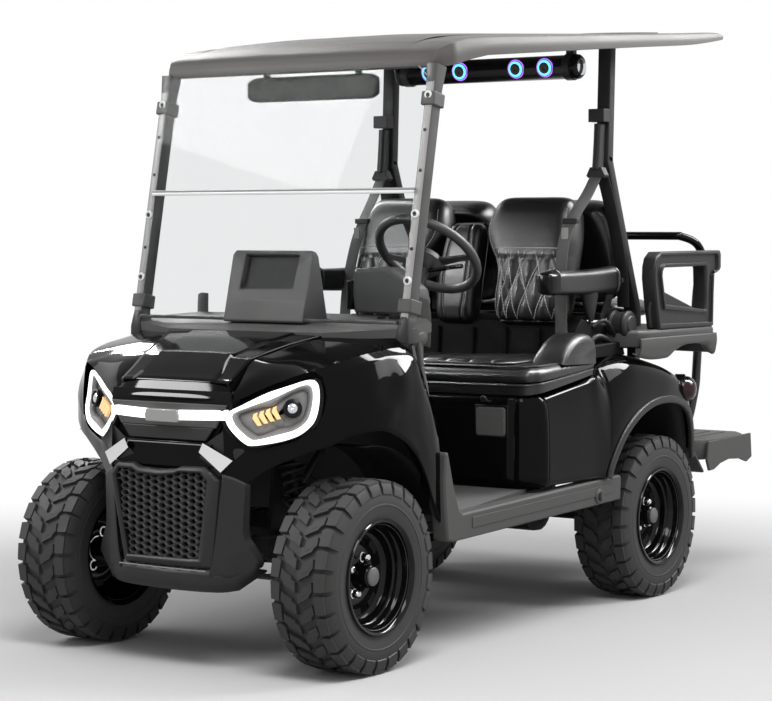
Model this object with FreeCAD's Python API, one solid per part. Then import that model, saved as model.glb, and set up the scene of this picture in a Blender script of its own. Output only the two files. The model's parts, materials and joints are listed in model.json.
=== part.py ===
# Lifted four-seat golf cart: the front faces -Y, the driver's side is +X, +Z is up, sizes in millimetres.
# Every piece is drawn from the front axle line on the ground and moved to the middle of the cart at the end.
import FreeCAD, Part
import math
import os
from FreeCAD import Vector

# Driving dimensions
front_overhang = 285.0
wheelbase = 1700.0
rear_overhang = 746.0
overall_length = front_overhang + wheelbase + rear_overhang
datum_to_middle = front_overhang - overall_length / 2

# Wheels
half_track = 479.0
tyre_radius = 279.4
tyre_width = 200.0
bead_radius = 150.4
rim_lip_radius = 166.0
rim_width = 190.0
lug_height = 11.0
lugs_round = 16
hub_radius = 34.0
axle_height = tyre_radius

# Body
body_half_width = 575.0
body_wall = 5.0
front_arch_radius = 385.0
front_arch_y = 5.0
front_arch_z = 300.0
rear_arch_radius = 410.0
floor_front_y = 412.0
floor_front_z = 408.0
floor_thickness = 18.0
rocker_inner_x = 528.0
rocker_outer_x = 582.0
pod_front_y = 850.0
pod_chamfer = 75.0
pod_base_z = 447.0
pod_top_z = 738.0

# Windshield and roof
screen_lean = math.radians(11.4)
screen_base_y = 200.0
screen_base_z = 990.0
screen_seam_z = 1382.0
screen_top_z = 1752.0
screen_half_width = 515.0
screen_thickness = 5.0
pillar_x = 508.0
pillar_width = 30.0
pillar_depth = 42.0
roof_front_y = 372.0
roof_rear_y = 2113.0
roof_half_width = 565.0

# Seats
seat_front_y = 850.0
seat_half_width = 570.0
seat_rear_y = 1236.0
seat_top_z = 836.0
bolster_top_z = 926.0
back_inner_x = 84.0
back_outer_x = 430.0
strut_x = 441.0
strut_width = 38.0
strut_depth = 50.0

# Rear
tray_half_width = 600.0
tray_front_y = 1500.0
tray_rear_y = 2062.0
tray_base_z = 826.0
tray_top_z = 924.0
footplate_half_width = 560.0
footplate_top_z = 516.0
footplate_base_z = 412.0
footplate_front_y = 2046.0
footplate_rear_y = wheelbase + rear_overhang

# Steering
kingpin_x = 402.0
kingpin_radius = 14.0
steer_arm = 105.0
steer_centre = Vector(283, 702, 1190)
armrest_pivot = Vector(470, 1556, 1094)
rack_centre = Vector(160, 60, 405)
steer_radius = 180.0
steer_grip = 15.0
column_axis = Vector(0, 0.661, 0.75)

running_gap = 0.05
seat_gap = 0.3
spindle_radius = 16.0
spindle_reach = 40.0

# Frame rails
rail_x = 230.0
rail_half_width = 25.0
rail_base = 300.0
rail_top = 378.0


def box(x0, x1, y0, y1, z0, z1):
    return Part.makeBox(x1 - x0, y1 - y0, z1 - z0, Vector(x0, y0, z0))


def face(points):
    return Part.Face(Part.makePolygon(points + [points[0]]))


def side_plate(points, x0, x1):
    """A side outline of (y, z) points, as thick as from x0 to x1."""
    return face([Vector(x0, y, z) for y, z in points]).extrude(Vector(x1 - x0, 0, 0))


def plan_plate(points, z0, z1):
    """A plan outline of (x, y) points, standing from z0 to z1."""
    return face([Vector(x, y, z0) for x, y in points]).extrude(Vector(0, 0, z1 - z0))


def front_plate(points, y0, y1):
    """A front outline of (x, z) points, as deep as from y0 to y1."""
    return face([Vector(x, y0, z) for x, z in points]).extrude(Vector(0, y1 - y0, 0))


def mirror(shape):
    return shape.mirror(Vector(0, 0, 0), Vector(1, 0, 0))


def fuse(shapes):
    first = shapes[0]
    joined = first.multiFuse(shapes[1:]) if len(shapes) > 1 else first
    return joined.removeSplitter()


def pair(shape):
    return Part.makeCompound([shape, mirror(shape)])


def across(outline):
    """A half outline from the middle outward, completed by its mirror image."""
    return outline + [(-x, y) for x, y in reversed(outline) if x > 0]


def rod(start, end, radius):
    return Part.makeCylinder(radius, (end - start).Length, start, end - start)


def ring(start, end, outer, inner):
    return rod(start, end, outer).cut(rod(start, end, inner))


def bar(start, end, width, depth):
    """A straight bar from start to end, width across X or Y and depth across the other way."""
    run = end - start
    side = Vector(1, 0, 0) if abs(run.x) < 0.9 * run.Length else Vector(0, 1, 0)
    other = run.cross(side).normalize() * (depth / 2)
    side = other.cross(run).normalize() * (width / 2)
    corners = [start + side + other, start - side + other, start - side - other, start + side - other]
    return face(corners).extrude(run)


def turned(profile, count):
    """A ring about the X axis from a closed outline of (radius, x) points, in flat facets."""
    turns = [2 * math.pi * k / count for k in range(count + 1)]
    faces = []
    for (r0, x0), (r1, x1) in zip(profile, profile[1:] + profile[:1]):
        for a, b in zip(turns, turns[1:]):
            corners = [Vector(x, r * math.sin(t), r * math.cos(t))
                       for r, x, t in ((r0, x0, a), (r1, x1, a), (r1, x1, b), (r0, x0, b))]
            faces.append(face(corners))
    return outward(Part.makeSolid(Part.makeShell(faces)))


def outward(solid):
    """The same solid with its faces turned to point outward."""
    if solid.Volume < 0:
        solid.reverse()
    return solid


def bent_tube(points, bend, radius):
    """A round tube in flat facets along a path in a plane of constant y, with its corners bent."""
    path = [points[0]]
    for before, corner, after in zip(points, points[1:], points[2:]):
        first = corner + (before - corner).normalize() * bend
        last = corner + (after - corner).normalize() * bend
        centre = first + last - corner
        for step in range(5):
            angle = step * math.pi / 8
            path.append(centre + (first - centre) * math.cos(angle) + (last - centre) * math.sin(angle))
    path.append(points[-1])
    sections = []
    for index, place in enumerate(path):
        run = path[min(index + 1, len(path) - 1)] - path[max(index - 1, 0)]
        flat = run.cross(Vector(0, 1, 0)).normalize() * radius
        turns = [2 * math.pi * k / 10 for k in range(10)]
        sections.append([place + flat * math.cos(t) + Vector(0, radius * math.sin(t), 0) for t in turns])
    return faceted(sections)


def faceted(sections):
    """A closed solid through flat outlines, each patch between them split into two flat triangles."""
    faces = [face(sections[0]), face(sections[-1])]
    for one, other in zip(sections, sections[1:]):
        for index in range(len(one)):
            onward = (index + 1) % len(one)
            faces.append(face([one[index], one[onward], other[onward]]))
            faces.append(face([one[index], other[onward], other[index]]))
    solid = Part.makeSolid(Part.makeShell(faces))
    return solid if solid.Volume > 0 else faceted(sections[::-1])


def prism(start, end, radius, count):
    """A straight round part in flat facets."""
    run = end - start
    side = Vector(1, 0, 0) if abs(run.x) < 0.9 * run.Length else Vector(0, 1, 0)
    other = run.cross(side).normalize() * radius
    side = other.cross(run).normalize() * radius
    turns = [2 * math.pi * k / count for k in range(count)]
    return face([start + side * math.cos(t) + other * math.sin(t) for t in turns]).extrude(run)


def shell_sections(stations, wall):
    """Sections across X for a panel: each station is y with outline points (x, z) from inside to outside."""
    sections = []
    for y, outline in stations:
        outer = [Vector(x, y, z) for x, z in outline]
        inner = [Vector(x - wall * lean, y, z - wall * (1 - lean * 0.6)) for (x, z), lean in
                 zip(outline, slopes(outline))]
        sections.append(outer + inner[::-1])
    return sections


def slopes(outline):
    """How far each outline point's surface leans: 0 where it lies flat, 1 where it stands upright."""
    leans = []
    for index in range(len(outline)):
        a = outline[max(index - 1, 0)]
        b = outline[min(index + 1, len(outline) - 1)]
        run = abs(b[0] - a[0])
        drop = abs(b[1] - a[1])
        leans.append(drop / (run + drop))
    return leans


nodes = {}


def keep(name, shape):
    nodes[name] = shape


def tyre(x_side, axle_y):
    """A carcass turned about the axle with square shoulder lugs and slanted centre blocks."""
    half = tyre_width / 2
    floor_radius = tyre_radius - lug_height
    profile = [(bead_radius, -half * 0.86), (215, -half), (floor_radius, -half * 0.78),
               (floor_radius, half * 0.78), (215, half), (bead_radius, half * 0.86)]
    carcass = turned(profile, lugs_round)
    pitch = 360.0 / lugs_round
    lug_length = 46.0
    lug_top = math.sqrt(tyre_radius ** 2 - (lug_length / 2) ** 2)
    shoulder = front_lug([(half * 0.60, floor_radius - 8), (half * 0.60, lug_top),
                          (half * 0.86, lug_top - 3), (half * 0.985, 244)], lug_length)
    block = Part.makePolygon([Vector(x, y, floor_radius - 8) for x, y in
                              [(4, -22), (50, -2), (50, 25), (4, 8), (4, -22)]])
    block = Part.Face(block).extrude(Vector(0, 0, lug_height + 6.2))
    lugs = []
    for index in range(lugs_round):
        turn = index * pitch
        for shape, shift in ((shoulder, 0.25), (mirror(shoulder), 0.75), (block, 0.25), (mirror(block), 0.75)):
            lug = shape.copy()
            lug.rotate(Vector(0, 0, 0), Vector(1, 0, 0), turn + shift * pitch)
            lugs.append(lug)
    wheel = carcass.multiFuse(lugs).removeSplitter()
    wheel.translate(Vector(x_side * half_track, axle_y, axle_height))
    return wheel


def front_lug(outline, length):
    """A shoulder lug: an (x, radius) outline, long round the tread."""
    return face([Vector(x, -length / 2, r) for x, r in outline]).extrude(Vector(0, length, 0))


def rim(x_side, axle_y):
    """A deep steel rim turned about the axle, with a slotted disc and a hub that stands out."""
    half = rim_width / 2
    profile = [(rim_lip_radius, half + 4), (150, half - 7), (150, 42), (138, 30), (138, -42), (150, -54),
               (150, 7 - half), (rim_lip_radius, -half - 4), (146, -half), (130, -45), (130, -6), (28, -6),
               (28, 4), (130, 4), (130, 34), (146, 46), (148, half)]
    shape = turned(profile, 16)
    slots = []
    for index in range(8):
        slot = box(-15, 15, -14, 14, 92, 116)
        slot.rotate(Vector(0, 0, 0), Vector(1, 0, 0), index * 45 + 11.25)
        slots.append(slot)
    shape = shape.fuse(prism(Vector(-8, 0, 0), Vector(66, 0, 0), hub_radius, 16))
    shape = shape.cut(Part.makeCompound(slots)).removeSplitter()
    bore = Part.makeCylinder(spindle_radius + running_gap, spindle_reach + 8, Vector(-8, 0, 0), Vector(1, 0, 0))
    shape = shape.cut(bore)
    if x_side < 0:
        shape = mirror(shape)
    shape.translate(Vector(x_side * half_track, axle_y, axle_height))
    return shape


def build_wheels():
    for side, x_side in (("left", 1), ("right", -1)):
        for end, axle_y in (("front", 0.0), ("rear", wheelbase)):
            keep("tyre_%s_%s" % (end, side), tyre(x_side, axle_y))
            keep("rim_%s_%s" % (end, side), rim(x_side, axle_y))


def build_chassis():
    rail = side_plate([(-109, rail_base + 20), (-109, rail_top), (1420, rail_top), (1520, 470), (1960, 470),
                       (1960, 410), (1560, 410), (1450, rail_base), (-60, rail_base)],
                      rail_x - rail_half_width, rail_x + rail_half_width)
    members = [box(-rail_x, rail_x, y, y + 50, rail_base + 5, rail_top - 5) for y in (-90, 120, 420, 860, 1340)]
    members += [box(-rail_x, rail_x, y, y + 50, 415, 465) for y in (1540, 1900)]
    tower = side_plate([(-48, rail_top - 5), (-22, 640), (46, 640), (72, rail_top - 5)], 205, 217)
    top = box(-255, 255, -8, 32, 612 + 3 + seat_gap, 640)
    nose = side_plate([(-250 + seat_gap, 330), (-250 + seat_gap, 366), (-109, 366), (-109, 330)], 150, 180)
    outrigger = [box(-rocker_inner_x + seat_gap, rocker_inner_x - seat_gap, y, y + 40, rail_top - 30,
                     rail_top - 2) for y in (470, 1250)]
    link = box(150, rail_x, -109, -60, 330, 366)
    keep("chassis_frame", fuse([rail, mirror(rail)] + members + [tower, mirror(tower), top, nose, mirror(nose),
                                                                 link, mirror(link)] + outrigger))


def build_floor():
    """The floor slopes up to the seat pod, with a toe board that leans forward to the cowl."""
    end_y = pod_front_y + 26
    end_z = pod_base_z - seat_gap
    outline = [(floor_front_y, floor_front_z), (pod_front_y, end_z), (end_y, end_z),
               (end_y, end_z - floor_thickness), (pod_front_y, end_z - floor_thickness),
               (floor_front_y - 8, floor_front_z - floor_thickness), (342, 560), (226, 928), (240, 930), (354, 566)]
    axis, knee = steering_line()
    pan = side_plate(outline, -rocker_inner_x + seat_gap, rocker_inner_x - seat_gap)
    keep("floor_pan", pan.cut(rod(knee + axis * 6, rack_centre, 20)))


def build_rockers():
    outline = [(336, 345), (372, 339), (1399, 367), (1403, 440), (1395, 449), (420, 419), (406, 426), (318, 590),
               (300, 590), (330, 470)]
    step = side_plate(outline, rocker_inner_x, rocker_outer_x)
    step = step.makeFillet(8, [e for e in step.Edges if e.Length > 800 and e.BoundBox.XMin > rocker_outer_x - 1])
    hole = Part.makeCylinder(9, 30, Vector(rocker_outer_x - 12, 1275, 400), Vector(1, 0, 0))
    keep("rockers", pair(step.cut(hole)))


hood_edge = [(-215.0, 202.0, 803.0), (-165.0, 205.0, 855.0), (-117.0, 209.0, 891.0), (0.0, 250.0, 926.0),
             (102.0, 290.0, 950.0)]


def build_front_body():
    """Nose and front fenders: one thin moulding, open over the wheels."""
    stations = [
        (-165.0, [(207, 850), (327, 833), (425, 815), (452, 780), (462, 560)]),
        (-120.0, [(212, 886), (330, 872), (450, 862), (498, 800), (505, 560)]),
        (0.0, [(253, 921), (365, 906), (468, 885), (545, 810), (566, 500)]),
        (110.0, [(294, 948), (390, 928), (478, 898), (556, 820), (575, 420)]),
        (212.0, [(330, 955), (410, 940), (482, 903), (560, 820), (578, 380)]),
        (345.0, [(360, 955), (430, 940), (490, 903), (562, 820), (578, 380)]),
    ]
    fender = faceted(shell_sections(stations, body_wall))
    behind = side_plate([(100, 1100), (212, 960), (262, 840), (296, 600), (330, 470), (345, 330), (700, 330),
                         (700, 1100)], 0, 700)
    arch = Part.makeCylinder(front_arch_radius, 500, Vector(300, front_arch_y, front_arch_z), Vector(1, 0, 0))
    low = box(0, 700, -400, 120, 300, 600)
    fender = fender.cut(behind).cut(arch).cut(low)
    levels = [
        (585.0, [(0, -256), (208, -252), (300, -202), (400, -141), (462, -100)]),
        (660.0, [(0, -262), (212, -246), (300, -203), (400, -141), (468, -96)]),
        (750.0, [(0, -262), (212, -234), (330, -166), (420, -118), (470, -88)]),
        (838.0, [(0, -222), (204, -190), (327, -146), (420, -110), (456, -88)]),
    ]
    sections = []
    for z, line in levels:
        front = [Vector(x, y, z) for x, y in line]
        back = [Vector(x, y + body_wall * 1.3, z) for x, y in line]
        sections.append(front + back[::-1])
    nose = faceted(sections)
    below = front_plate([(208, 560), (208, 577), (300, 604), (400, 643), (520, 700), (520, 560)], -400, 100)
    hood_gap = front_plate([(-10, 790), (196, 796), (203, 860), (-10, 900)], -400, 0)
    nose = nose.cut(below).cut(hood_gap)
    half = fuse([fender, nose])
    board = side_plate([(402, 380), (342 - seat_gap, 560), (226 - seat_gap, 928), (226, 1100), (700, 1100),
                        (700, 300)], 0, rocker_inner_x + seat_gap)
    cowl_room = plan_plate(cowl_plan, 900, 1080).common(
        side_plate([(60, 938 - seat_gap), (200, 950 - seat_gap), (420, 975 - seat_gap), (420, 1100), (60, 1100)],
                   -600, 600))
    half = half.cut(board).cut(cowl_room)
    keep("front_body", fuse([half, mirror(half)]))


def build_hood():
    stations = []
    for y, x, z in hood_edge:
        edge = x - 5
        outline = [(-edge, z + 2), (-edge * 0.55, z + 11), (0, z + 14), (edge * 0.55, z + 11), (edge, z + 2)]
        outer = [Vector(px, y, pz) for px, pz in outline]
        inner = [Vector(px, y, pz - body_wall) for px, pz in outline]
        stations.append(outer + inner[::-1])
    keep("hood", faceted(stations))


lamp_plane_point = Vector(212, -236, 744)
lamp_normal = Vector(0.462, -0.866, 0.188).normalize()
lamp_outline = [Vector(212, -232, 744), Vector(327, -157, 808), Vector(393, -116, 832), Vector(419, -107, 809),
                Vector(420, -125, 723), Vector(382, -153, 690), Vector(285, -211, 662), Vector(266, -220, 669),
                Vector(212, -237, 721)]


def build_lamps():
    """A glowing ring round each lamp, joined by a bar with a plain box in the middle."""
    outer = [p + lamp_normal * (4 - (p - lamp_plane_point).dot(lamp_normal)) for p in lamp_outline]
    centre = Vector(0, 0, 0)
    for p in outer:
        centre += p
    centre = centre / len(outer)
    inner = [centre + (p - centre) * 0.82 for p in outer]
    ring_face = face(outer).cut(face(inner))
    glow = ring_face.extrude(lamp_normal * 9)
    lens = face([centre + (p - centre) * 0.84 for p in outer]).extrude(lamp_normal * 4)
    lamp = [fuse([glow, lens])]
    light = front_plate([(-205, 721), (205, 721), (205, 744), (-205, 744)], -275, -262 - seat_gap)
    middle = front_plate([(-62, 716), (62, 716), (62, 752), (-62, 752)], -281, -262 - seat_gap)
    keep("front_lamps", Part.makeCompound([fuse([light, middle])] + lamp + [mirror(s) for s in lamp]))


def build_grille():
    outline = [(-167, 568), (167, 568), (130, 322), (-130, 322)]
    plate = front_plate(outline, -268, -256)
    cells = []
    pitch_x = 50.0
    pitch_z = 34.0
    half_x = 20.0
    half_z = 13.0
    for row in range(7):
        z = 341 + row * pitch_z
        shift = pitch_x / 2 if row % 2 else 0
        room = 130 + (z - 322) * 37 / 246 - half_x - 6
        count = int(room // pitch_x) + 1
        for index in range(-count, count + 1):
            x = index * pitch_x + shift
            if abs(x) <= room:
                cells.append(front_plate([(x - half_x, z), (x - half_x * 0.5, z + half_z),
                                          (x + half_x * 0.5, z + half_z), (x + half_x, z),
                                          (x + half_x * 0.5, z - half_z), (x - half_x * 0.5, z - half_z)],
                                         -270, -250))
    keep("grille", plate.cut(Part.makeCompound(cells)))


def build_bumper():
    """Chin and side wings round the grille."""
    levels = [(232.0, [(0, -242), (120, -234), (172, -187), (170, -135)]),
              (300.0, [(0, -278), (150, -270), (200, -205), (206, -132)]),
              (450.0, [(0, -284), (178, -276), (216, -215), (228, -130)]),
              (572.0, [(0, -284), (204, -272), (234, -225), (250, -128)])]
    solid = faceted([[Vector(x, y, z) for x, y in across(line)] for z, line in levels])
    hollow = front_plate([(-190, 250), (190, 250), (215, 600), (-215, 600)], -250, 0)
    window = front_plate([(-168 - seat_gap, 570), (168 + seat_gap, 570), (131 + seat_gap, 321),
                          (-131 - seat_gap, 321)], -400, 0)
    keep("front_bumper", solid.cut(hollow).cut(window))


cowl_plan = across([(0, 102 + seat_gap), (290, 104), (489, 206), (528, 228), (528, 330), (450, 420)])


def cowl_top(y):
    """Height of the cowl behind the screen."""
    return 976 + (y - 200) * 24 / 220


def steering_line():
    """The column's direction, and its lower end."""
    axis = Vector(column_axis).normalize()
    return axis, steer_centre - axis * 330


def build_cowl():
    slab = plan_plate(cowl_plan, 900, 1080)
    profile = side_plate([(60, 938), (60, 958), (200, 976), (420, 1000), (420, 975), (200, 950)], -600, 600)
    top = slab.common(profile)
    dash = box(-440, 440, 404, 420, 800, 980)
    axis, knee = steering_line()
    wells = [rod(knee - axis * 200, knee + axis * 300, 26), rod(knee, rack_centre, 20)]
    keep("dash_cowl", fuse([top, dash]).cut(wells))


def build_monitor_pod():
    side = side_plate([(214, cowl_top(214) + seat_gap), (330, cowl_top(330) + seat_gap), (350, 1202),
                       (272, 1202)], -158, 158)
    front = front_plate([(-148, 970), (148, 970), (158, 1210), (-158, 1210)], 100, 500)
    keep("monitor_pod", side.common(front))


def build_console():
    face_y = 420 + seat_gap
    binnacle = side_plate([(face_y, 1003), (face_y, 1110), (436, 1148), (500, 1140), (520, 1060), (500, 960),
                           (face_y, 900)], 172, 400)
    end = side_plate([(face_y, 930), (face_y, 1080), (446, 1090), (500, 1020), (470, 930)], 400, 440)
    axis, knee = steering_line()
    keep("dash_console", fuse([binnacle, end]).cut(rod(knee - axis * 100, knee + axis * 330, 27)))


def toe_y(z):
    """The cabin face of the lower toe board at a height."""
    return 354 + (566 - z) * 58 / 158


def build_pedals():
    """Brake and drive pedals that stand off the toe board."""
    pedals = []
    for x, half in ((236, 34), (330, 24)):
        pad = side_plate([(446, 468), (455, 470), (422, 560), (413, 557)], x - half, x + half)
        arm = side_plate([(toe_y(530) + seat_gap * 1.1, 530), (430, 530), (438, 508),
                          (toe_y(508) + seat_gap * 1.1, 508)], x - 7, x + 7)
        pedals.append(fuse([pad, arm]))
    keep("pedals", Part.makeCompound(pedals))


def lean_y(z):
    """Where the windshield's front face stands at a height."""
    return screen_base_y + (z - screen_base_z) * math.tan(screen_lean)


def build_screens():
    corner = 90.0
    for name, low, high in (("windshield_lower", screen_base_z, screen_seam_z - 2),
                            ("windshield_upper", screen_seam_z + 2, screen_top_z)):
        half = screen_half_width - 2
        if name == "windshield_upper":
            outline = [(-half, low), (half, low), (half, high - corner), (half - corner * 0.8, high),
                       (-half + corner * 0.8, high), (-half, high - corner)]
        else:
            outline = [(-half, low), (half, low), (half, high), (-half, high)]
        front = [Vector(x, lean_y(z), z) for x, z in outline]
        way = Vector(0, -math.cos(screen_lean), math.sin(screen_lean))
        keep(name, face(front).extrude(way * screen_thickness))


def build_pillars():
    """Leaning rectangular tubes behind the screen, with clamp blocks and a foot on the cowl."""
    gap = (seat_gap + pillar_depth / 2) / math.cos(screen_lean)
    foot = Vector(pillar_x, lean_y(960) + gap, 960)
    head = Vector(pillar_x, lean_y(1775) + gap, 1775)
    post = bar(foot, head, pillar_width, pillar_depth)
    clamps = []
    for z in (1045.0, 1655.0):
        clamps.append(bar(Vector(pillar_x, lean_y(z) + gap, z), Vector(pillar_x, lean_y(z + 60) + gap, z + 60),
                          pillar_width + 22, pillar_depth - 2))
    gusset = side_plate([(lean_y(1700) + 40, 1690), (lean_y(1700) + 130, 1764), (lean_y(1700) + 40, 1764)],
                        pillar_x - 12, pillar_x + 12)
    below = side_plate([(100, 900), (100, cowl_top(100) + seat_gap), (420, cowl_top(420) + seat_gap),
                        (420, 900)], 400, 600)
    keep("front_pillars", pair(fuse([post, gusset] + clamps).cut([below, above_headliner()])))


roof_underside = [(340, 1742), (395, 1752), (500, 1800), (700, 1838), (1300, 1892), (1950, 1944), (2060, 1948)]


def above_headliner():
    """The space from just under the roof's underside upward."""
    line = [(y, z - seat_gap) for y, z in roof_underside]
    return side_plate(line + [(2060, 2100), (340, 2100)], -roof_half_width, roof_half_width)


def build_roof():
    """A thin moulding with a deep side fascia at the front that steps up, and a raised centre."""
    sections = []
    for y, low, edge, top, half in ((roof_front_y, 1748, 1766, 1770, 520), (415, 1756, 1812, 1822, 552),
                                    (520, 1768, 1838, 1850, 562), (700, 1800, 1852, 1872, 565),
                                    (1300, 1862, 1894, 1920, 565), (1950, 1925, 1948, 1966, 560),
                                    (roof_rear_y, 1940, 1952, 1962, 520)):
        sections.append([Vector(x, y, z) for x, z in
                         ((-half, low), (half, low), (half + 2, edge - 12), (half - 40, edge), (half - 130, top),
                          (-half + 130, top), (-half + 40, edge), (-half - 2, edge - 12))])
    underside = side_plate([(395, 1700)] + roof_underside[1:] + [(2060, 1900), (700, 1700)], -roof_half_width + 14,
                           roof_half_width - 14)
    keep("roof", faceted(sections).cut(underside))


def build_struts():
    """Rectangular tubes that carry the roof's rear, kinked above the seatbacks."""
    foot = Vector(strut_x, 1738, 985)
    kink = Vector(strut_x, 1532, 1490)
    head = Vector(strut_x, 1547, 1930)
    lower = bar(foot, kink, strut_width, strut_depth)
    upper = bar(kink - Vector(0, 0, 6), head, strut_width, strut_depth)
    base = box(strut_x - strut_width / 2, strut_x + strut_width / 2, 1700, 1790, tray_top_z + seat_gap, 990)
    keep("rear_struts", pair(fuse([lower, upper, base]).cut(above_headliner())))


def build_mirror():
    mirror_plate = box(-246, 246, 440, 470, 1666, 1744)
    stems = [box(s * 180 - 6, s * 180 + 6, 446, 458, 1744, 1790) for s in (-1, 1)]
    keep("mirror", fuse([mirror_plate] + stems).cut(above_headliner()))


def build_sound_bar():
    axis_y = 1496.0
    axis_z = 1800.0
    tube = prism(Vector(-368, axis_y, axis_z), Vector(368, axis_y, axis_z), 42, 20)
    hangers = [box(s * 250 - 12, s * 250 + 12, axis_y - 10, axis_y + 10, axis_z + 30, 1950) for s in (-1, 1)]
    keep("sound_bar", fuse([tube] + hangers).cut(above_headliner()))


pod_silhouette = [(pod_front_y, pod_base_z), (pod_front_y, pod_top_z - 4), (1225, 786), (1285, 810), (1430, 813),
                  (1600, 795), (1740, 765), (1850, 715), (1930, 630), (1972, 540), (1984, 466), (1940, 458)]
pod_plan = [(0, pod_front_y), (500, pod_front_y), (body_half_width, pod_front_y + pod_chamfer), (583, 1250),
            (600, 1480), (600, 1650), (578, 1800), (515, 1984)]


def pod_solid():
    return plan_plate(across(pod_plan), 400, 900).common(side_plate(pod_silhouette, -700, 700))


def build_rear_body():
    """Seat pod with the rear fenders: thin walls, open below, with arches over the wheels."""
    plan = across(pod_plan)
    outer = pod_solid()
    wire = Part.makePolygon([Vector(x, y, 380) for x, y in plan + [plan[0]]])
    inner_plan = Part.Face(Part.Wire(wire.makeOffset2D(-body_wall).Edges)).extrude(Vector(0, 0, 500))
    side_wire = Part.makePolygon([Vector(-690, y, z) for y, z in pod_silhouette + [pod_silhouette[0]]])
    inner_side = Part.Face(Part.Wire(side_wire.makeOffset2D(-body_wall).Edges)).extrude(Vector(1380, 0, 0))
    hollow = inner_plan.common(inner_side)
    below = box(-480, 480, pod_front_y + 10, 1980, 380, 470)
    top = box(-430, 430, pod_front_y + 60, 1250, 700, 840)
    arches = [Part.makeCylinder(rear_arch_radius, 320, Vector(x, wheelbase, axle_height), Vector(1, 0, 0))
              for x in (330, -650)]
    shape = outer.cut(hollow).cut(below).cut(top)
    for arch in arches:
        shape = shape.cut(arch)
    keep("rear_body", shape)


def build_rear_details():
    door_x0, door_x1 = 370.0, 470.0
    door_z0, door_z1 = 614.0, 704.0
    keep("charge_door", box(door_x0, door_x1, pod_front_y - 12, pod_front_y - 0.5, door_z0, door_z1))
    lamp = prism(Vector(505, 1855, 706), Vector(512, 1925, 706), 42, 16)
    keep("tail_lamps", pair(lamp.cut(pod_solid())))


def build_seats():
    half = seat_half_width
    plan = across([(0, seat_front_y), (half - 60, seat_front_y), (half - 18, seat_front_y + 18),
                   (half, seat_front_y + 60), (half, seat_rear_y)])
    base_line = [(seat_front_y - 5, pod_top_z - 3), (1225, 787), (seat_rear_y + 10, 796), (seat_rear_y + 10, 846),
                 (seat_front_y + 30, seat_top_z), (seat_front_y - 5, seat_top_z - 20)]
    cushion = plan_plate(plan, 700, 1000).common(side_plate(base_line, -700, 700))
    hump = side_plate([(1040, 820), (1075, 880), (1130, 920), (1180, bolster_top_z), (seat_rear_y, 900),
                       (seat_rear_y, 820)], half - 110, half)
    seat = fuse([cushion, hump, mirror(hump)])
    keep("front_seat_bottom", seat)
    back = side_plate([(1262, 940), (1240, 985), (1300, 1190), (1352, 1330), (1385, 1362), (1425, 1362),
                       (1440, 1330), (1400, 1190), (1345, 960)], back_inner_x, back_outer_x)
    centre = side_plate([(1275, 940), (1262, 985), (1320, 1190), (1352, 1262), (1385, 1280), (1415, 1262),
                         (1400, 1190), (1345, 960)], -back_inner_x + 8, back_inner_x - 8)
    keep("front_seatbacks", Part.makeCompound([back, mirror(back), centre]))
    rear = side_plate([(1500, 1330), (1530, 1362), (1570, 1355), (1600, 1310), (1700, 1130), (1690, 1060),
                       (1640, 1030), (1600, 1040), (1545, 1190)], 30, 405)
    keep("rear_seatbacks", pair(rear))


def build_seat_frame():
    """Steel tubes behind and under the seatbacks."""
    post = bar(Vector(220, 1470, 810 + seat_gap), Vector(220, 1470, 1290), 25, 25)
    cross_low = box(-469, 469, 1458, 1482, 960, 984)
    bracket = side_plate([(1455, 955), (1500, 955), (1578, 1080), (1578, 1108), (1548, 1112)], 461, 465)
    pin = rod(Vector(462, armrest_pivot.y, armrest_pivot.z), Vector(500, armrest_pivot.y, armrest_pivot.z), 8)
    cross_high = box(-260, 260, 1428.6 + seat_gap, 1512.9 - seat_gap, 1266, 1290)
    tab = box(-30, 30, 1415 + seat_gap, 1458, 1238, 1290)
    side = [post, bracket, pin]
    keep("seat_frame", fuse([cross_low, cross_high, tab] + side + [mirror(shape) for shape in side]))


def build_armrests():
    for side, sign in (("left", 1), ("right", -1)):
        pad = side_plate([(1185, 1072), (1180, 1110), (1200, 1134), (1560, 1142), (1585, 1120), (1580, 1070),
                          (1560, 1048), (1300, 1046), (1210, 1056)], 471, 531)
        leg = side_plate([(1440, 1050), (1530, 1050), (1500, 985), (1475, 965), (1462, 985)], 476, 500)
        bore = rod(Vector(468, armrest_pivot.y, armrest_pivot.z), Vector(504, armrest_pivot.y, armrest_pivot.z),
                   8 + running_gap)
        arm = fuse([pad, leg]).cut(bore)
        keep("armrest_" + side, arm if sign > 0 else mirror(arm))


def build_belts():
    """Belt reels on plates at the struts' feet, with the shoulder guides above."""
    face_x = strut_x + strut_width / 2 + seat_gap
    plate = side_plate([(1535, 950), (1535, 1000), (1700, 985), (1780, 985), (1780, 945)], face_x, face_x + 6)
    hub = prism(Vector(face_x + 3, 1560, 975), Vector(476, 1560, 975), 18, 12)
    reel = prism(Vector(475, 1560, 975), Vector(545, 1560, 975), 45, 16)
    guide = box(strut_x - 30, strut_x + 30, 1486, 1511.6 - seat_gap, 1625, 1668)
    keep("belts", pair(Part.makeCompound([fuse([plate, hub, reel]), guide])))


def build_tray():
    half = tray_half_width
    plan = across([(0, tray_front_y), (half - 70, tray_front_y), (half - 20, tray_front_y + 20),
                   (half, tray_front_y + 70), (half, tray_rear_y)])
    solid = plan_plate(plan, tray_base_z, tray_top_z)
    hollow = box(-half + 26, half - 26, tray_front_y + 26, tray_rear_y - 26, tray_base_z - 1, tray_top_z - 8)
    side_arch = Part.makeCylinder(210, 2 * half + 40, Vector(-half - 20, 1880, tray_base_z - 165),
                                  Vector(1, 0, 0))
    keep("rear_tray", solid.cut(hollow).cut(side_arch))


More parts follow.
